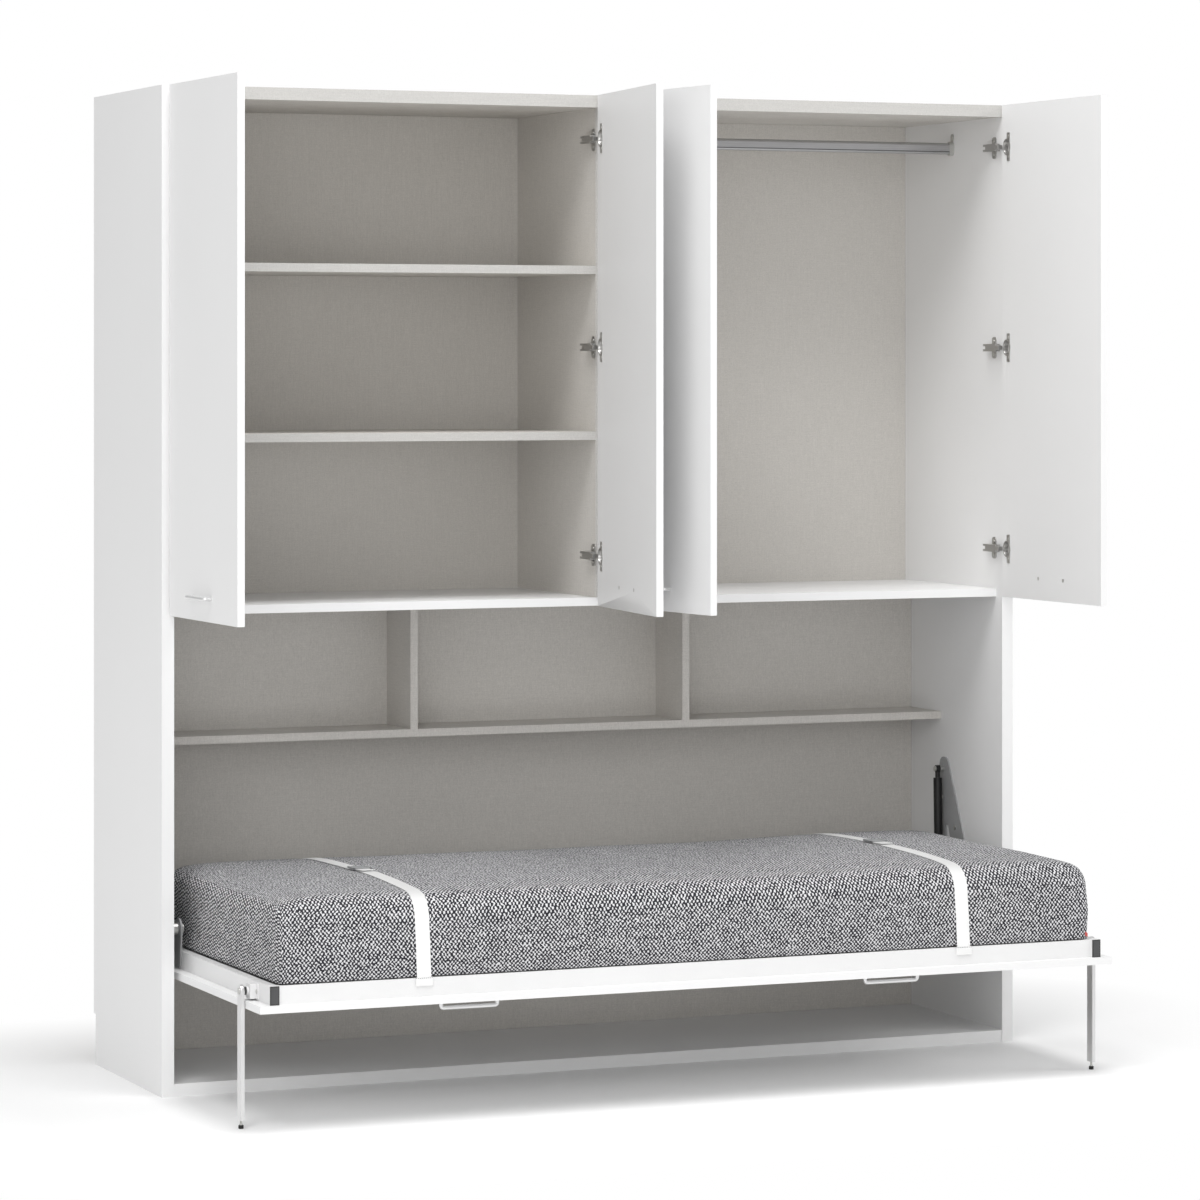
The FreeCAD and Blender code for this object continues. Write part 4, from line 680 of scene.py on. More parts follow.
def along_table(table: Table, at: float) -> float:
    """Reads a table of (place, value) pairs, straight between its entries.

    Args:
        table: the pairs, by rising place.
        at: the place.

    Returns:
        The value there.
    """
    if at <= table[0][0]:
        return table[0][1]
    for (low, first), (high, second) in zip(table, table[1:]):
        if at <= high:
            return first + (second - first) * (at - low) / (high - low)
    return table[-1][1]


def rounded(x: float, y: float, half: Pair, radius: float) -> Pair:
    """Moves a place in a rectangle into the same rectangle with rounded corners.

    Args:
        x: the place's first part, from the rectangle's middle.
        y: its second part.
        half: the rectangle's half sizes.
        radius: the corners' radius.

    Returns:
        The moved place.
    """
    over_x = abs(x) - (half[0] - radius)
    over_y = abs(y) - (half[1] - radius)
    if over_x <= 0.0 or over_y <= 0.0:
        return x, y
    new_x = over_x * math.sqrt(1 - (over_y / radius) ** 2 / 2)
    new_y = over_y * math.sqrt(1 - (over_x / radius) ** 2 / 2)
    return math.copysign(half[0] - radius + new_x, x), math.copysign(half[1] - radius + new_y, y)


# --- cabinet, doors and bed structure ----------------------------------------------------------------
@dataclass
class Carcass:
    """The cabinet's boards, its rail and what is screwed to it."""

    board_edge: float = 0.0008
    hinge_edge: float = 0.0006
    plate_edge: float = 0.0005

    def build(self) -> list[Piece]:
        """Dresses the boards and fittings.

        Returns:
            The dressed nodes.
        """
        return [
            *dress_nodes(WHITE_BOARD, "left_side_panel", "right_side_panel", "base_panel", "middle_shelf",
                         edge=self.board_edge),
            *dress_nodes(LINEN_BOARD, "top_panel", "centre_partition", "upper_back_panels",
                         "lower_back_panel", "wardrobe_shelves", "niche_shelf", "niche_dividers",
                         edge=self.board_edge),
            *dress_nodes(RAIL_METAL, "hanging_rail"),
            *dress_nodes(ZINC, "rail_brackets", "cabinet_screws", "wall_plate_pins"),
            *dress_nodes(BEECH, "carcass_dowels"),
            *dress_nodes(NICKEL, "hinge_arms", edge=self.hinge_edge),
            *dress_nodes(GREY_STEEL, "wall_plates", edge=self.plate_edge),
        ]


@dataclass
class Door:
    """One door leaf with its handle, cups and screws."""

    number: int
    board_edge: float = 0.0008
    cup_edge: float = 0.0004

    def build(self) -> list[Piece]:
        """Dresses the door's nodes.

        Returns:
            The dressed nodes.
        """
        name = f"door_{self.number}"
        return [*dress_nodes(WHITE_BOARD, name, edge=self.board_edge), *dress_nodes(SATIN, f"{name}_handle"),
                *dress_nodes(NICKEL, f"{name}_hinge_cups", edge=self.cup_edge),
                *dress_nodes(ZINC, f"{name}_screws")]


@dataclass
class BedStructure:
    """The folding bed's panel, frame, pivots, legs and struts."""

    board_edge: float = 0.0008
    cap_edge: float = 0.0004
    arm_edge: float = 0.0005
    leg_edge: float = 0.0006

    def build(self) -> list[Piece]:
        """Dresses the bed's nodes.

        Returns:
            The dressed nodes.
        """
        return [
            *dress_nodes(WHITE_BOARD, "bed_front_panel", edge=self.board_edge),
            *dress_nodes(WHITE_STEEL, "frame_side_rails", "frame_long_rails", "frame_centre_bar"),
            *dress_nodes(WHITE_STEEL, "leg_brackets", edge=self.board_edge),
            *dress_nodes(GREY_STEEL, "pivot_arms", edge=self.arm_edge),
            *dress_nodes(BLACK_PLASTIC, "frame_end_caps", edge=self.cap_edge),
            *dress_nodes(BLACK_PLASTIC, "slat_holders"),
            *dress_nodes(BIRCH, "slats"),
            *dress_nodes(ACETAL, "pivot_bushes"),
            *dress_nodes(SATIN, "bed_handles"),
            *dress_nodes(ZINC, "bed_screws", "leg_pivot_bolts", "strut_bed_studs"),
            *dress_nodes(LEG_STEEL, "leg_left", "leg_right", edge=self.leg_edge),
            *dress_nodes(STRUT_ENAMEL, "leg_springs", "strut_cylinder_left", "strut_cylinder_right"),
            *dress_nodes(CHROME, "strut_rod_left", "strut_rod_right"),
        ]


# --- small fittings --------------------------------------------------------------------------------
@dataclass
class LevellingFoot:
    """One levelling foot: a knurled rubber pad under a plated hex and threaded stem."""

    side: str
    pad_height: float = 0.0078
    stem: float = 0.0025
    thread_pitch: float = 0.0010
    thread_depth: float = 0.0003
    chamfer: float = 0.0009
    hex_height: float = 0.0022
    hex_proud: float = 0.0014
    ribs: int = 28
    knurl_depth: float = 0.0003
    near: float = 1e-5

    def build(self) -> list[Piece]:
        """Turns the pad and the stem on the place of the frame's foot.

        Returns:
            The pad and the stem.
        """
        node, body = f"foot_{self.side}", f"{self.side}_foot"
        low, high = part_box(node)
        centre = (low + high) / 2
        radius = (high.x - low.x) / 2
        pad_top = low.z + self.pad_height
        rim_low, rim_high = low.z + self.chamfer, pad_top - self.chamfer
        bm = bmesh.new()
        turned(bm, [(0.0, low.z), (radius - self.chamfer, low.z), (radius, rim_low), (radius, rim_high),
                    (radius - self.chamfer, pad_top), (0.0, pad_top)], centre, 2 * self.ribs)
        self.knurl(bm, centre, radius)
        pad = finish_mesh(f"levelling_pad_{self.side}", bm, FOOT_RUBBER, body, node)
        bm = bmesh.new()
        head, hex_top = self.stem + self.hex_proud, pad_top + self.hex_height
        turned(bm, [(0.0, pad_top), (head, pad_top), (head, hex_top), (0.0, hex_top)], centre, 6)
        turned(bm, self.thread(hex_top, high.z), centre, self.ribs)
        return [pad, finish_mesh(f"levelling_stem_{self.side}", bm, ZINC, body, node)]

    def thread(self, low: float, high: float) -> list[Pair]:
        """The threaded stem's profile.

        Args:
            low: its lower end.
            high: its upper end.

        Returns:
            (radius, height) points.
        """
        profile = [(0.0, low), (self.stem, low)]
        height = low + self.thread_pitch
        while height < high - self.thread_pitch:
            profile.append((self.stem - self.thread_depth, height))
            profile.append((self.stem, height + self.thread_pitch / 2))
            height += self.thread_pitch
        return profile + [(self.stem - self.thread_depth, high), (0.0, high)]

    def knurl(self, bm: Mesh, centre: Vector, radius: float) -> None:
        """Draws every second rib of the pad's rim inwards.

        Args:
            bm: the pad.
            centre: a point on its axis.
            radius: its rim's radius.
        """
        for vert in bm.verts:
            offset = Vector((vert.co.x - centre.x, vert.co.y - centre.y))
            rib = round(math.atan2(offset.y, offset.x) / (math.pi / self.ribs))
            if abs(offset.length - radius) < self.near and rib % 2:
                offset *= (radius - self.knurl_depth) / radius
                vert.co.xy = centre.xy + offset


@dataclass
class CapInlays:
    """The charcoal panels set in the front ends of the side rails' black plugs."""

    tube: float = 0.020
    rim: float = 0.0022
    proud: float = 0.0004
    rounding: float = 0.0003

    def build(self) -> Piece:
        """Sets one rounded panel in each front plug.

        Returns:
            Both panels as one piece.
        """
        low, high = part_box("frame_side_rails")
        half = (self.tube / 2 - self.rim, self.proud, (high.z - low.z) / 2 - self.rim)
        bm = bmesh.new()
        for sign in (-1, 1):
            centre = (sign * (high.x - self.tube / 2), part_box("frame_end_caps")[0].y, (low.z + high.z) / 2)
            add_box(bm, centre, half)
        bmesh.ops.bevel(bm, geom=bm.edges, offset=self.rounding, segments=2, affect="EDGES")
        return finish_mesh("end_cap_inlays", bm, CAP_CENTRE)


# --- mattress ----------------------------------------------------------------------------------------
# Each strap: its side, its x and its buckle's y.
STRAPS = (("left", -0.635, -0.440), ("right", 0.635, -0.395))


@dataclass
class Mattress:
    """The crowned mattress in its woven cover, swelled by a short cloth run inside the frame's form.

    The tables give, by the height above the foot, how far the ends lie inside the frame's box and how
    round the upright corners are, and, by the distance from an end, how far the top falls.
    """

    cell: float = 0.013
    end_stretch: float = 0.55
    end_apart: float = 0.4
    inset: float = 0.0006
    held_height: float = 0.004
    swell_limit: float = 0.026
    start_in: float = 0.004
    slack: float = 0.0020
    slide: float = 0.0050
    frames: int = 20
    pressure: float = 4.0
    growth: float = 0.035
    mass: float = 0.35
    stretch_stiffness: float = 12.0
    shear_stiffness: float = 6.0
    bending_stiffness: float = 0.4
    quality: int = 6
    fill: float = 0.85
    seam_depth: float = 0.0014
    seam_in: float = 0.018
    seam_reach: float = 0.008
    seam_zone: float = 0.06
    strap_press: float = 0.0020
    strap_half: float = 0.016
    strap_fade: float = 0.012
    dip: float = 0.0032
    dip_scale: Triple = (3.1, 3.7, 3.1)
    dip_rise: Pair = (0.11, 0.06)
    top_lift: float = 0.0038
    hump: Triple = (0.63, 0.24, 0.0028)
    crease: float = 0.9
    crease_top: float = 0.135
    ring: float = 0.154
    end_inset: Table = ((0.0, -0.0010), (0.034, -0.0020), (0.068, -0.0055), (0.123, -0.0055),
                        (0.136, -0.0045), (0.148, -0.0010), (0.154, 0.0035))
    end_fall: Table = ((0.0, 0.0260), (0.003, 0.0235), (0.020, 0.0165), (0.058, 0.0085), (0.120, 0.0025),
                       (0.190, 0.0))
    corner_radius: Table = ((0.0, 0.009), (0.120, 0.010), (0.154, 0.020))
    left_foot_out: float = 0.0045
    left_foot_rise: float = 0.060

    def build(self) -> Piece:
        """Builds the mattress.

        Returns:
            The finished mattress.
        """
        self.low, self.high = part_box("mattress")
        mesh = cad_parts["mattress"].data
        self.tree = BVHTree.FromPolygons([vert.co.copy() for vert in mesh.vertices],
                                         [tuple(face.vertices) for face in mesh.polygons])
        bm = self.box_grid()
        self.wrap(bm)
        for face in bm.faces:
            face.smooth = True
        piece = new_piece("mattress_cover", bm)
        self.swell(piece)
        self.settle(piece)
        refine = piece.modifiers.new("smooth", "SUBSURF")
        refine.levels = refine.render_levels = 1
        seat(piece, COVER, "bed", "mattress")
        return piece

    def box_grid(self) -> Mesh:
        """A closed box of even cells with the cloth's flat coordinates at its corners.

        Returns:
            The box, creased at its foot and, below the top's rounding, at its upright corners.
        """
        size = self.high - self.low
        counts = [round(part / self.cell) for part in size]
        bm = bmesh.new()
        cloth = bm.loops.layers.float_vector.new(Space.CLOTH.value)
        verts: dict[tuple[int, int, int], bmesh.types.BMVert] = {}

        def vert(key: tuple[int, int, int]) -> bmesh.types.BMVert:
            """The box's vertex at a grid place, made once."""
            if key not in verts:
                verts[key] = bm.verts.new([self.low[i] + size[i] * key[i] / counts[i] for i in range(3)])
            return verts[key]

        def flat(key: tuple[int, int, int], axis: int, level: int) -> Vector:
            """The cloth's flat coordinates of a grid place on one side of the box."""
            x, y, z = (key[i] / counts[i] * size[i] for i in range(3))
            if axis == 0:
                return Vector((z, y * self.end_stretch + self.end_apart * level, 0.0))
            if axis == 1:
                return Vector((x, z if level == 0 else 2 * size.z + size.y - z, 0.0))
            return Vector((x, size.z + y if level else -y, 0.0))

        for axis in range(3):
            first, second = (i for i in range(3) if i != axis)
            for level in (0, counts[axis]):
                for a in range(counts[first]):
                    for b in range(counts[second]):
                        keys = []
                        for da, db in ((0, 0), (1, 0), (1, 1), (0, 1)):
                            key = {axis: level, first: a + da, second: b + db}
                            keys.append((key[0], key[1], key[2]))
                        face = bm.faces.new([vert(key) for key in keys])
                        for loop, key in zip(face.loops, keys):
                            loop[cloth] = flat(key, axis, level)
        bmesh.ops.recalc_face_normals(bm, faces=bm.faces)
        bm.verts.index_update()
        crease = bm.edges.layers.float.new("crease_edge")
        for edge in bm.edges:
            turned_up = {face.normal.z < -0.5 for face in edge.link_faces}
            turned_aside = {abs(face.normal.x) > 0.5 for face in edge.link_faces}
            upper = max(vert.co.z for vert in edge.verts)
            foot = upper < self.low.z + self.inset and len(turned_up) == 2
            upright = upper < self.low.z + self.crease_top and len(turned_aside) == 2 and len(turned_up) == 1
            if foot or upright:
                edge[crease] = self.crease
        return bm

    def side_inset(self, height: float) -> float:
        """How far the frame's form lies inside its box at a height on the long sides' middle."""
        start = Vector((0.0, self.low.y - 1.0, self.low.z + height))
        return self.tree.ray_cast(start, Vector((0.0, 1.0, 0.0)))[0].y - self.low.y

    def lid(self, x: float, y: float, half: Pair) -> float:
        """The crowned top's form: the frame's crown, falling to the ends.

        Args:
            x: a place inside the ring, along the mattress from its middle.
            y: the place across the mattress.
            half: the ring's half sizes.

        Returns:
            The top's height above the foot there.
        """
        above = Vector((0.0, y + (self.low.y + self.high.y) / 2, self.high.z + 1.0))
        fall = self.high.z - self.tree.ray_cast(above, Vector((0.0, 0.0, -1.0)))[0].z
        drop = along_table(self.end_fall, half[0] - abs(x))
        return self.high.z - self.low.z - (fall ** 3 + drop ** 3) ** (1 / 3)

    def wrap(self, bm: Mesh) -> None:
        """Draws the box into the mattress's form: the frame's crown with boxier ends and corners.

        Args:
            bm: the box. Its form is kept, and it starts a little inside of it.
        """
        mid = (self.low + self.high) / 2
        half = (self.high - self.low) / 2
        top_half = (half.x - along_table(self.end_inset, self.ring), half.y - self.side_inset(self.ring))
        for vert in bm.verts:
            share = [(vert.co[i] - mid[i]) / half[i] for i in range(3)]
            rise = (share[2] + 1) / 2
            x, y = rounded(share[0] * top_half[0], share[1] * top_half[1], top_half,
                           along_table(self.corner_radius, self.ring))
            height = rise * self.lid(x, y, top_half)
            if rise < 0.999:
                level = min(height, self.ring)
                size_x = half.x - along_table(self.end_inset, level)
                if share[0] < 0.0:
                    size_x += self.left_foot_out * max(0.0, 1 - level / self.left_foot_rise)
                size = (size_x, half.y - self.side_inset(max(level, 2 * self.inset)))
                x, y = rounded(share[0] * size[0], share[1] * size[1], size,
                               along_table(self.corner_radius, level))
            vert.co = Vector((mid.x + x, mid.y + y, self.low.z + height))
        bm.normal_update()
        self.form = [(vert.co.copy(), vert.normal.copy()) for vert in bm.verts]
        for vert, (near, normal) in zip(bm.verts, self.form):
            vert.co = near - normal * self.start_in

    def swell(self, piece: Piece) -> None:
        """Runs the cloth: the cover grows a little and the filling presses it out.

        Args:
            piece: the cover, held at its foot.
        """
        start = [vert.co.copy() for vert in piece.data.vertices]
        pins = piece.vertex_groups.new(name="held")
        held = [i for i, place in enumerate(start) if place.z < self.low.z + self.held_height]
        pins.add(held, 1.0, "REPLACE")
        cloth = piece.modifiers.new("cloth", "CLOTH")
        settings = cloth.settings
        settings.quality = self.quality
        settings.mass = self.mass
        settings.tension_stiffness = settings.compression_stiffness = self.stretch_stiffness
        settings.shear_stiffness = self.shear_stiffness
        settings.bending_stiffness = self.bending_stiffness
        settings.use_pressure = True
        settings.uniform_pressure_force = self.pressure
        settings.vertex_group_mass = pins.name
        settings.shrink_min = -self.growth
        settings.effector_weights.gravity = 0.0
        cloth.collision_settings.use_collision = False
        cloth.point_cache.frame_start = 1
        cloth.point_cache.frame_end = self.frames
        scene = bpy.context.scene
        for number in range(1, self.frames + 1):
            scene.frame_set(number)
        ready = piece.evaluated_get(bpy.context.evaluated_depsgraph_get())
        moved = [vert.co.copy() for vert in ready.data.vertices]
        piece.modifiers.remove(cloth)
        piece.vertex_groups.remove(pins)
        scene.frame_set(1)
        for vert, first, now in zip(piece.data.vertices, start, moved):
            step = now - first
            step.length = min(step.length, self.swell_limit)
            vert.co = first + step

    def settle(self, piece: Piece) -> None:
        """Keeps the cover inside the frame's form, pressed under the straps and drawn in at its seams.

        Args:
            piece: the cover.
        """
        for vert, (near, normal) in zip(piece.data.vertices, self.form):
            step = vert.co - near
            inward = step.dot(normal)
            along = step - normal * inward
            along.length = min(along.length, self.slide)
            room = self.inset + self.seam(near) + self.press(near) + self.sag(near)
            vert.co = near + along + normal * min(-room, max(inward, -room - self.slack))
            vert.co.z = max(vert.co.z, self.low.z + self.inset)
        piece.data.update()

    def sag(self, place: Vector) -> float:
        """How far the filling's slow unevenness lets the upper cover sink, or lifts it.

        Args:
            place: a place on the form.

        Returns:
            The depth there, below 0 where the cover is lifted.
        """
        start, fade = self.dip_rise
        rise = min(1.0, max(0.0, (place.z - self.low.z - start) / fade))
        spot = Vector([part * scale for part, scale in zip(place, self.dip_scale)])
        hump_x, reach, height = self.hump
        raised = self.top_lift + height * math.exp(-((place.x - hump_x) / reach) ** 2)
        return rise * (self.dip * noise.noise(spot) - raised)

    def seam(self, place: Vector) -> float:
        """How deep the cover draws in beside the upright corner seams.

        Args:
            place: a place on the form.

        Returns:
            The depth there.
        """
        half, mid = (self.high - self.low) / 2, (self.high + self.low) / 2
        off = [max(half[i] - abs(place[i] - mid[i]), 0.0) for i in range(2)]
        if max(off) >= self.seam_zone:
            return 0.0
        return self.seam_depth * math.exp(-((math.hypot(*off) - self.seam_in) / self.seam_reach) ** 2)

    def press(self, place: Vector) -> float:
        """How far a strap presses the cover in at one place."""
        best = min(abs(place.x - x) for _, x, _ in STRAPS)
        return self.strap_press * math.exp(-(max(0.0, best - self.strap_half) / self.strap_fade) ** 2)


# --- straps ------------------------------------------------------------------------------------------
@dataclass
class Strap:
    """One webbing strap over the mattress, with its buckle and its hemmed ends on the long rails."""

    side: str
    x: float
    buckle_y: float
    cover: Piece
    width: float = 0.032
    thickness: float = 0.0014
    section: Table = ((-1.0, 0.0), (-0.96, 0.42), (-0.8, 0.5), (0.0, 0.5), (0.8, 0.5), (0.96, 0.42),
                      (1.0, 0.0), (0.96, -0.42), (0.8, -0.5), (0.0, -0.5), (-0.8, -0.5), (-0.96, -0.42))
    step: float = 0.008
    gap: float = 0.0005
    rays: int = 200
    shifts: Triple = (-0.4, 0.0, 0.4)
    even_over: int = 3
    foot_rise: float = 0.014
    rail_gap: float = 0.0003
    rail_reach: Pair = (0.004, 0.002)
    hem_width: float = 0.039
    hem_drop: float = 0.017
    hem_over: float = 0.0015
    hem_gap: float = 0.0005
    hem_shift: float = 0.0006
    hem_thickness: float = 0.0009
    hem_cells: int = 6
    stitch_count: int = 9
    stitch_gap: float = 0.0006
    stitch_drop: float = 0.0004
    stitch_half: Triple = (0.32, 0.0002, 0.00045)
    tail: float = 0.050
    tail_ends: Pair = (0.012, 0.020)
    tail_gap: float = 0.0006
    tail_curl: float = 0.0016
    tail_rise: float = 0.1
    buckle_half: Pair = (0.021, 0.023)
    buckle_share: float = 0.8
    buckle_gap: float = 0.0004
    rung_half: float = 0.003
    rung_share: float = 0.7
    rim_half: float = 0.0025

    def build(self) -> list[Piece]:
        """Lays the strap over the cover and fits its buckle.

        Returns:
            The strap, its hems with their stitches, its tail and its buckle.
        """
        path = self.path()
        pieces = [self.ribbon("", path, self.width, self.thickness)]
        for name, way in (("front", -1.0), ("rear", 1.0)):
            pieces += [self.hem(name, way), self.stitches(name, way)]
        return pieces + [self.loose_tail(path), self.buckle(path)]

    def rail_face(self, way: float, gap: float) -> Pair:
        """A place beside the long rails.

        Args:
            way: -1 for the front side, 1 for the rear.
            gap: how far off the rail's outer face it lies.

        Returns:
            Its y and the rails' top.
        """
        low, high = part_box("frame_long_rails")
        return (low.y if way < 0 else high.y) + way * gap, high.z

    def path(self) -> list[Vector]:
        """The strap's middle line, from the front rail over the cover to the rear rail.

        Returns:
            Its points in even steps.
        """
        tree = BVHTree.FromObject(self.cover, bpy.context.evaluated_depsgraph_get())
        low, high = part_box("mattress")
        centre = Vector((self.x, (low.y + high.y) / 2, low.z + 0.03))
        ways, reaches = [], []
        for i in range(self.rays + 1):
            angle = math.pi * (0.01 + 0.98 * i / self.rays)
            outward = Vector((0.0, -math.cos(angle), math.sin(angle) * 0.5)).normalized()
            far = 0.0
            for shift in self.shifts:
                origin = centre + Vector((shift * self.width, 0.0, 0.0))
                hit = tree.ray_cast(origin + outward * 2.0, -outward, 4.0)[0]
                if hit is not None:
                    far = max(far, (hit - origin).length)
            ways.append(outward)
            reaches.append(far)
        line = []
        for i, (outward, reach) in enumerate(zip(ways, reaches)):
            beside = reaches[max(0, i - self.even_over):i + self.even_over + 1]
            even = max(reach, sum(beside) / len(beside))
            if even > 0.0:
                line.append(centre + outward * even)
        points = []
        for before, place, after in zip(line, line[1:], line[2:]):
            along = after - before
            normal = Vector((0.0, -along.z, along.y)).normalized()
            points.append(place + normal * (self.gap + self.thickness / 2))
        points = [point for point in points if point.z > low.z + self.foot_rise]
        ends = []
        for way in (-1.0, 1.0):
            y, top = self.rail_face(way, self.rail_gap + self.thickness / 2)
            ends.append([Vector((self.x, y, top - self.hem_drop + self.rail_reach[0])),
                         Vector((self.x, y, top + self.rail_reach[1]))])
        return self.spaced([*ends[0], *points, *reversed(ends[1])])

    def spaced(self, points: Sequence[Vector]) -> list[Vector]:
        """The same line in even steps."""
        out = [points[0]]
        carried = 0.0
        for start, end in zip(points, points[1:]):
            length = (end - start).length
            while carried + length >= self.step:
                start = start.lerp(end, (self.step - carried) / length)
                length = (end - start).length
                out.append(start.copy())
                carried = 0.0
            carried += length
        return [*out, points[-1]]

    def ribbon(self, part: str, path: Sequence[Vector], width: float, thickness: float) -> Piece:
        """A flat woven band along a path, with rounded selvedges.

        Args:
            part: what it adds to the strap's name.
            path: its middle line, in the plane across the mattress.
            width: its width along X.
            thickness: its thickness.

        Returns:
            The band.
        """
        bm = bmesh.new()
        cloth = bm.loops.layers.float_vector.new(Space.CLOTH.value)
        side = Vector((1.0, 0.0, 0.0))
        rings, flat = [], {}
        run = 0.0
        for i, point in enumerate(path):
            up = side.cross(path[min(i + 1, len(path) - 1)] - path[max(i - 1, 0)]).normalized()
            run += (point - path[max(i - 1, 0)]).length
            rings.append([])
            for across, above in self.section:
                reach = across * width / 2
                vert = bm.verts.new(point + side * reach + up * (above * thickness))
                flat[vert] = Vector((reach, run, 0.0))
                rings[-1].append(vert)
        for face in skin(bm, rings):
            for loop in face.loops:
                loop[cloth] = flat[loop.vert]
        return finish_mesh(f"strap_{self.side}{part}", bm, STRAP_WEB, node="straps")

    def hem(self, name: str, way: float) -> Piece:
        """The wider folded hem over the strap's end on one long rail."""
        y, top = self.rail_face(way, self.hem_gap + self.thickness + self.hem_thickness / 2)
        rise = (self.hem_drop + self.hem_over) / self.hem_cells
        points = [Vector((self.x + self.hem_shift, y, top - self.hem_drop + i * rise))
                  for i in range(self.hem_cells + 1)]
        return self.ribbon(f"_{name}_hem", points, self.hem_width, self.hem_thickness)

    def stitches(self, name: str, way: float) -> Piece:
        """The row of thread that holds the hem at the rail's top."""
        y, top = self.rail_face(way, self.stitch_gap + self.thickness + self.hem_thickness)
        pitch = self.hem_width / self.stitch_count
        bm = bmesh.new()
        for i in range(self.stitch_count):
            x = self.x + (i + 0.5 - self.stitch_count / 2) * pitch
            add_box(bm, (x, y, top - self.stitch_drop), (pitch * self.stitch_half[0], *self.stitch_half[1:]))
        bmesh.ops.bevel(bm, geom=bm.edges, offset=0.00015, segments=1, affect="EDGES")
        return finish_mesh(f"strap_{self.side}_{name}_stitches", bm, THREAD, node="straps")

    def loose_tail(self, path: Sequence[Vector]) -> Piece:
        """The webbing's doubled tail, from the buckle some way down the strap's front half."""
        near, far = self.buckle_y + self.tail_ends[0], self.buckle_y - self.tail_ends[1] - self.tail
        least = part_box("mattress")[0].z + self.tail_rise
        part = sorted((point for point in path if far <= point.y <= near and point.z > least),
                      key=lambda point: -point.y)
        lift = self.thickness + self.tail_gap
        points = [point + Vector((0.0, 0.0, lift + self.tail_curl * (i / (len(part) - 1)) ** 2))
                  for i, point in enumerate(part)]
        return self.ribbon("_tail", points, self.width + 0.001, self.thickness * 0.8)

    def buckle(self, path: Sequence[Vector]) -> Piece:
        """The moulded ladder buckle on the strap's top."""
        low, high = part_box("strap_buckles")
        half, half_long = self.buckle_half
        tall = (high.z - low.z) * self.buckle_share
        under = min((point for point in path if point.z > low.z - 0.05),
                    key=lambda point: abs(point.y - self.buckle_y))
        z = under.z + self.thickness + self.buckle_gap + tall / 2
        bm = bmesh.new()
        for way in (-1, 0, 1):
            centre = (self.x, self.buckle_y + way * (half_long - self.rung_half), z)
            add_box(bm, centre, (half, self.rung_half, tall / 2 * self.rung_share))
        for way in (-1, 1):
            centre = (self.x + way * (half - self.rim_half), self.buckle_y, z)
            add_box(bm, centre, (self.rim_half, half_long, tall / 2))
        bmesh.ops.bevel(bm, geom=bm.edges, offset=0.0009, segments=2, affect="EDGES")
        return finish_mesh(f"strap_buckle_{self.side}", bm, BUCKLE_GREY, node="strap_buckles")


@dataclass
class SeamTab:
    """A plain folded cloth tab sewn in the mattress's lower right corner."""

    width: float = 0.009
    reach: float = 0.008
    thickness: float = 0.0012
    from_corner: Triple = (-0.009, 0.009, 0.014)
    droop: float = 0.004
    cells: int = 5

    def build(self) -> Piece:
        """Folds the tab out of the corner seam.

        Returns:
            The tab.
        """
        low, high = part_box("mattress")
        foot = Vector((high.x, low.y, low.z)) + Vector(self.from_corner)
        away = Vector((0.7, -0.7, 0.0)).normalized()
        side = Vector((0.7, 0.7, 0.0)).normalized()
        bm = bmesh.new()
        cloth = bm.loops.layers.float_vector.new(Space.CLOTH.value)
        rings = []
        for i in range(self.cells + 1):
            share = i / self.cells
            centre = foot + away * (share * self.reach) - Vector((0.0, 0.0, self.droop * share ** 2))
            half = self.thickness / (4 if i == self.cells else 2)
            rings.append([bm.verts.new(centre + side * (half * a) + Vector((0.0, 0.0, self.width / 2 * b)))
                          for a, b in ((-1, -1), (1, -1), (1, 1), (-1, 1))])
        for face in skin(bm, rings):
            for loop in face.loops:
                loop[cloth] = loop.vert.co
        return finish_mesh("seam_tab", bm, TAB_CLOTH)


# --- studio ------------------------------------------------------------------------------------------
def white_to_rays(graph: Graph, kind: str, rays: Sequence[str], share: Value = 1.0) -> None:
    """Shows plain white instead of a shader to some sorts of rays.

    Args:
        graph: the shader's tree.
        kind: the white shader's node type, without its leading ShaderNode.
        rays: the sorts of rays.
        share: how much white they see.
    """
    path = graph.node("LightPath")
    seen = path.outputs[f"Is {rays[0]} Ray"]
    for ray in rays[1:]:
        seen = graph.math("MAXIMUM", seen, path.outputs[f"Is {ray} Ray"])
    blend = graph.node("MixShader", Fac=graph.times(seen, share))
    graph.link(graph.shader.outputs[0], blend.inputs[1])
    graph.link(graph.node(kind, Color=WHITE, Strength=1.0).outputs[0], blend.inputs[2])
    graph.link(blend.outputs[0], graph.output.inputs["Surface"])


@dataclass(frozen=True)
class Softbox:
    """One square softbox: where it hangs, what it faces and its power in watts."""

    name: str
    place: Triple
    aim: Triple
    power: float
    size: float = 2.4

    def hang(self) -> None:
        """Hangs the softbox in the scene."""
        light = bpy.data.lights.new(self.name, "AREA")
        light.size = self.size
        light.energy = self.power
        lamp = bpy.data.objects.new(self.name, light)
        lamp.location = self.place
        lamp.rotation_euler = (Vector(self.aim) - Vector(self.place)).to_track_quat("-Z", "Y").to_euler()
        bpy.context.scene.collection.objects.link(lamp)


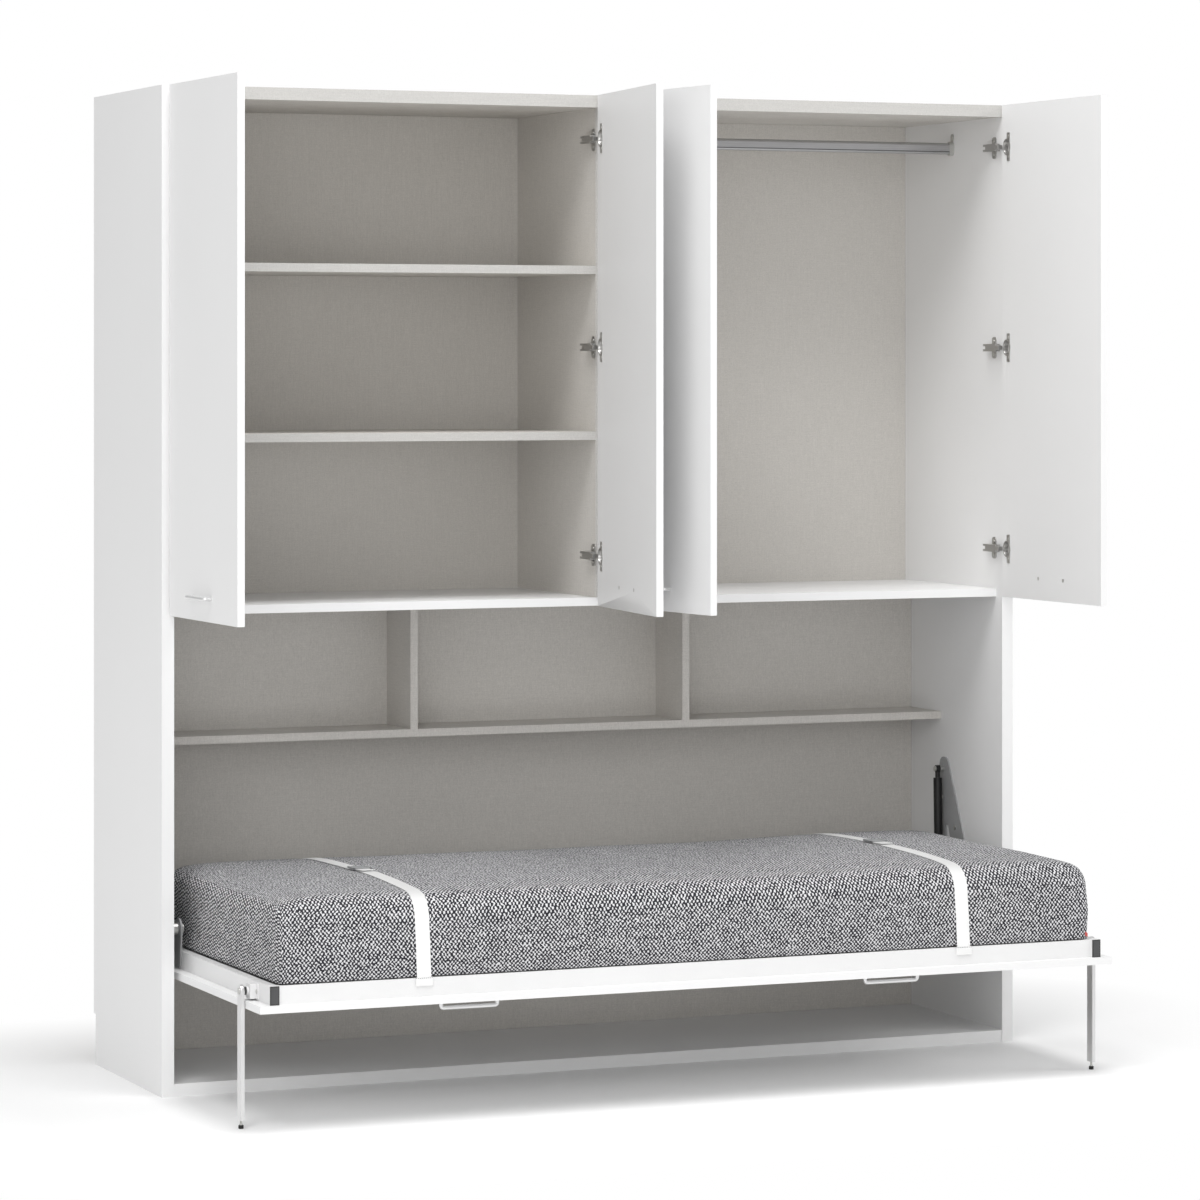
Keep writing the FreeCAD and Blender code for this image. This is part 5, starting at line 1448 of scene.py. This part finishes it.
@dataclass
class Studio:
    """The pale floor, the soft lights and the white surroundings.

    The floor keeps the bed's shadow around its centre and fades to plain white beyond.
    """

    floor_half: float = 14.0
    floor_colour: Colour = (0.93, 0.93, 0.93)
    floor_tones: Pair = (0.99, 1.01)
    floor_grain: float = 60.0
    floor_fade: Pair = (0.08, 0.75)
    shadow_centre: Pair = (0.0, -0.30)
    shadow_half: Pair = (1.05, 0.62)
    world_level: float = 0.57
    lamps: tuple[Softbox, ...] = (
        Softbox("overhead_softbox", (0.0, -2.0, 7.5), (0.0, -0.4, 0.0), 214.0),
        Softbox("key_softbox", (-3.0, -3.8, 7.0), (0.0, 0.0, 0.5), 156.0),
        Softbox("left_softbox", (-5.0, -7.0, 3.8), (0.0, 0.0, 1.0), 66.0),
        Softbox("right_softbox", (6.5, -3.5, 4.5), (0.0, 0.0, 0.8), 83.0),
        Softbox("low_softbox", (-3.0, -8.5, 1.6), (0.0, 0.0, 0.9), 66.0),
    )

    def build(self) -> None:
        """Makes the floor, the lamps and the world."""
        self.floor()
        for softbox in self.lamps:
            softbox.hang()
        self.world()
        bpy.context.scene.view_settings.view_transform = "Standard"

    def floor(self) -> None:
        """Lays the floor, which keeps the bed's shadow."""
        bm = bmesh.new()
        half = self.floor_half
        corners = ((-half, -half), (half, -half), (half, half), (-half, half))
        bm.faces.new([bm.verts.new((x, y, 0.0)) for x, y in corners])
        floor = new_piece("floor", bm)
        material = bpy.data.materials.new("studio_floor")
        graph = Graph(material)
        where = graph.coords()
        grain = graph.noise(where, self.floor_grain)
        graph.set(Base_Color=graph.tones(grain, self.floor_colour, self.floor_tones), Roughness=0.7,
                  Specular_IOR_Level=0.1)
        away = []
        for part, centre, reach in zip(graph.split(where), self.shadow_centre, self.shadow_half):
            outside = graph.add(graph.math("ABSOLUTE", graph.add(part, -centre)), -reach)
            outside = graph.math("MAXIMUM", outside, 0.0)
            away.append(graph.times(outside, outside))
        white_to_rays(graph, "Emission", ("Camera", "Glossy", "Transmission"),
                      graph.ramp(graph.math("SQRT", graph.add(*away)), *self.floor_fade))
        floor.data.materials.append(material)

    def world(self) -> None:
        """Surrounds the bed with soft white light and shows pure white behind it."""
        world = bpy.data.worlds.new("studio")
        graph = Graph(world, "Background", "OutputWorld")
        graph.set(Color=WHITE, Strength=self.world_level)
        white_to_rays(graph, "Background", ("Camera", "Transmission"))
        bpy.context.scene.world = world


@dataclass
class Camera:
    """The photograph's camera: level, turned to the right, with the frame shifted."""

    place: Triple = (-3.9499, -10.7612, 1.63056)
    heading: float = 25.28
    lens: float = 145.34
    centre_px: Pair = (995.09, 360.18)
    frame_px: float = 1200.0

    def build(self) -> Piece:
        """Sets the camera up.

        Returns:
            The camera.
        """
        data = bpy.data.cameras.new("camera")
        data.lens = self.lens
        data.sensor_width = 36.0
        data.clip_end = 100.0
        middle = self.frame_px / 2
        data.shift_x = (middle - self.centre_px[0]) / self.frame_px
        data.shift_y = (self.centre_px[1] - middle) / self.frame_px
        camera = bpy.data.objects.new("camera", data)
        camera.location = self.place
        camera.rotation_euler = (math.pi / 2, 0.0, -math.radians(self.heading))
        bpy.context.scene.collection.objects.link(camera)
        bpy.context.scene.camera = camera
        return camera


# --- the whole object --------------------------------------------------------------------------------
def report(name: str, pieces: list[Piece]) -> None:
    """Logs how many pieces one class has made."""
    LOG.info("%s: %d piece(s)", name, len(pieces))


def main() -> None:
    """Builds every sub-assembly in order."""
    logging.basicConfig(level=logging.INFO, format="%(name)s %(message)s")
    Camera().build()
    Studio().build()
    report("carcass", Carcass().build())
    for number in (1, 2, 3, 4):
        report(f"door {number}", Door(number).build())
    report("bed structure", BedStructure().build())
    for side in ("left", "right"):
        report(f"{side} levelling foot", LevellingFoot(side).build())
    report("end cap inlays", [CapInlays().build()])
    cover = Mattress().build()
    report("mattress", [cover])
    for side, x, buckle_y in STRAPS:
        report(f"{side} strap", Strap(side, x, buckle_y, cover).build())
    report("seam tab", [SeamTab().build()])


if __name__ == "__main__":
    main()
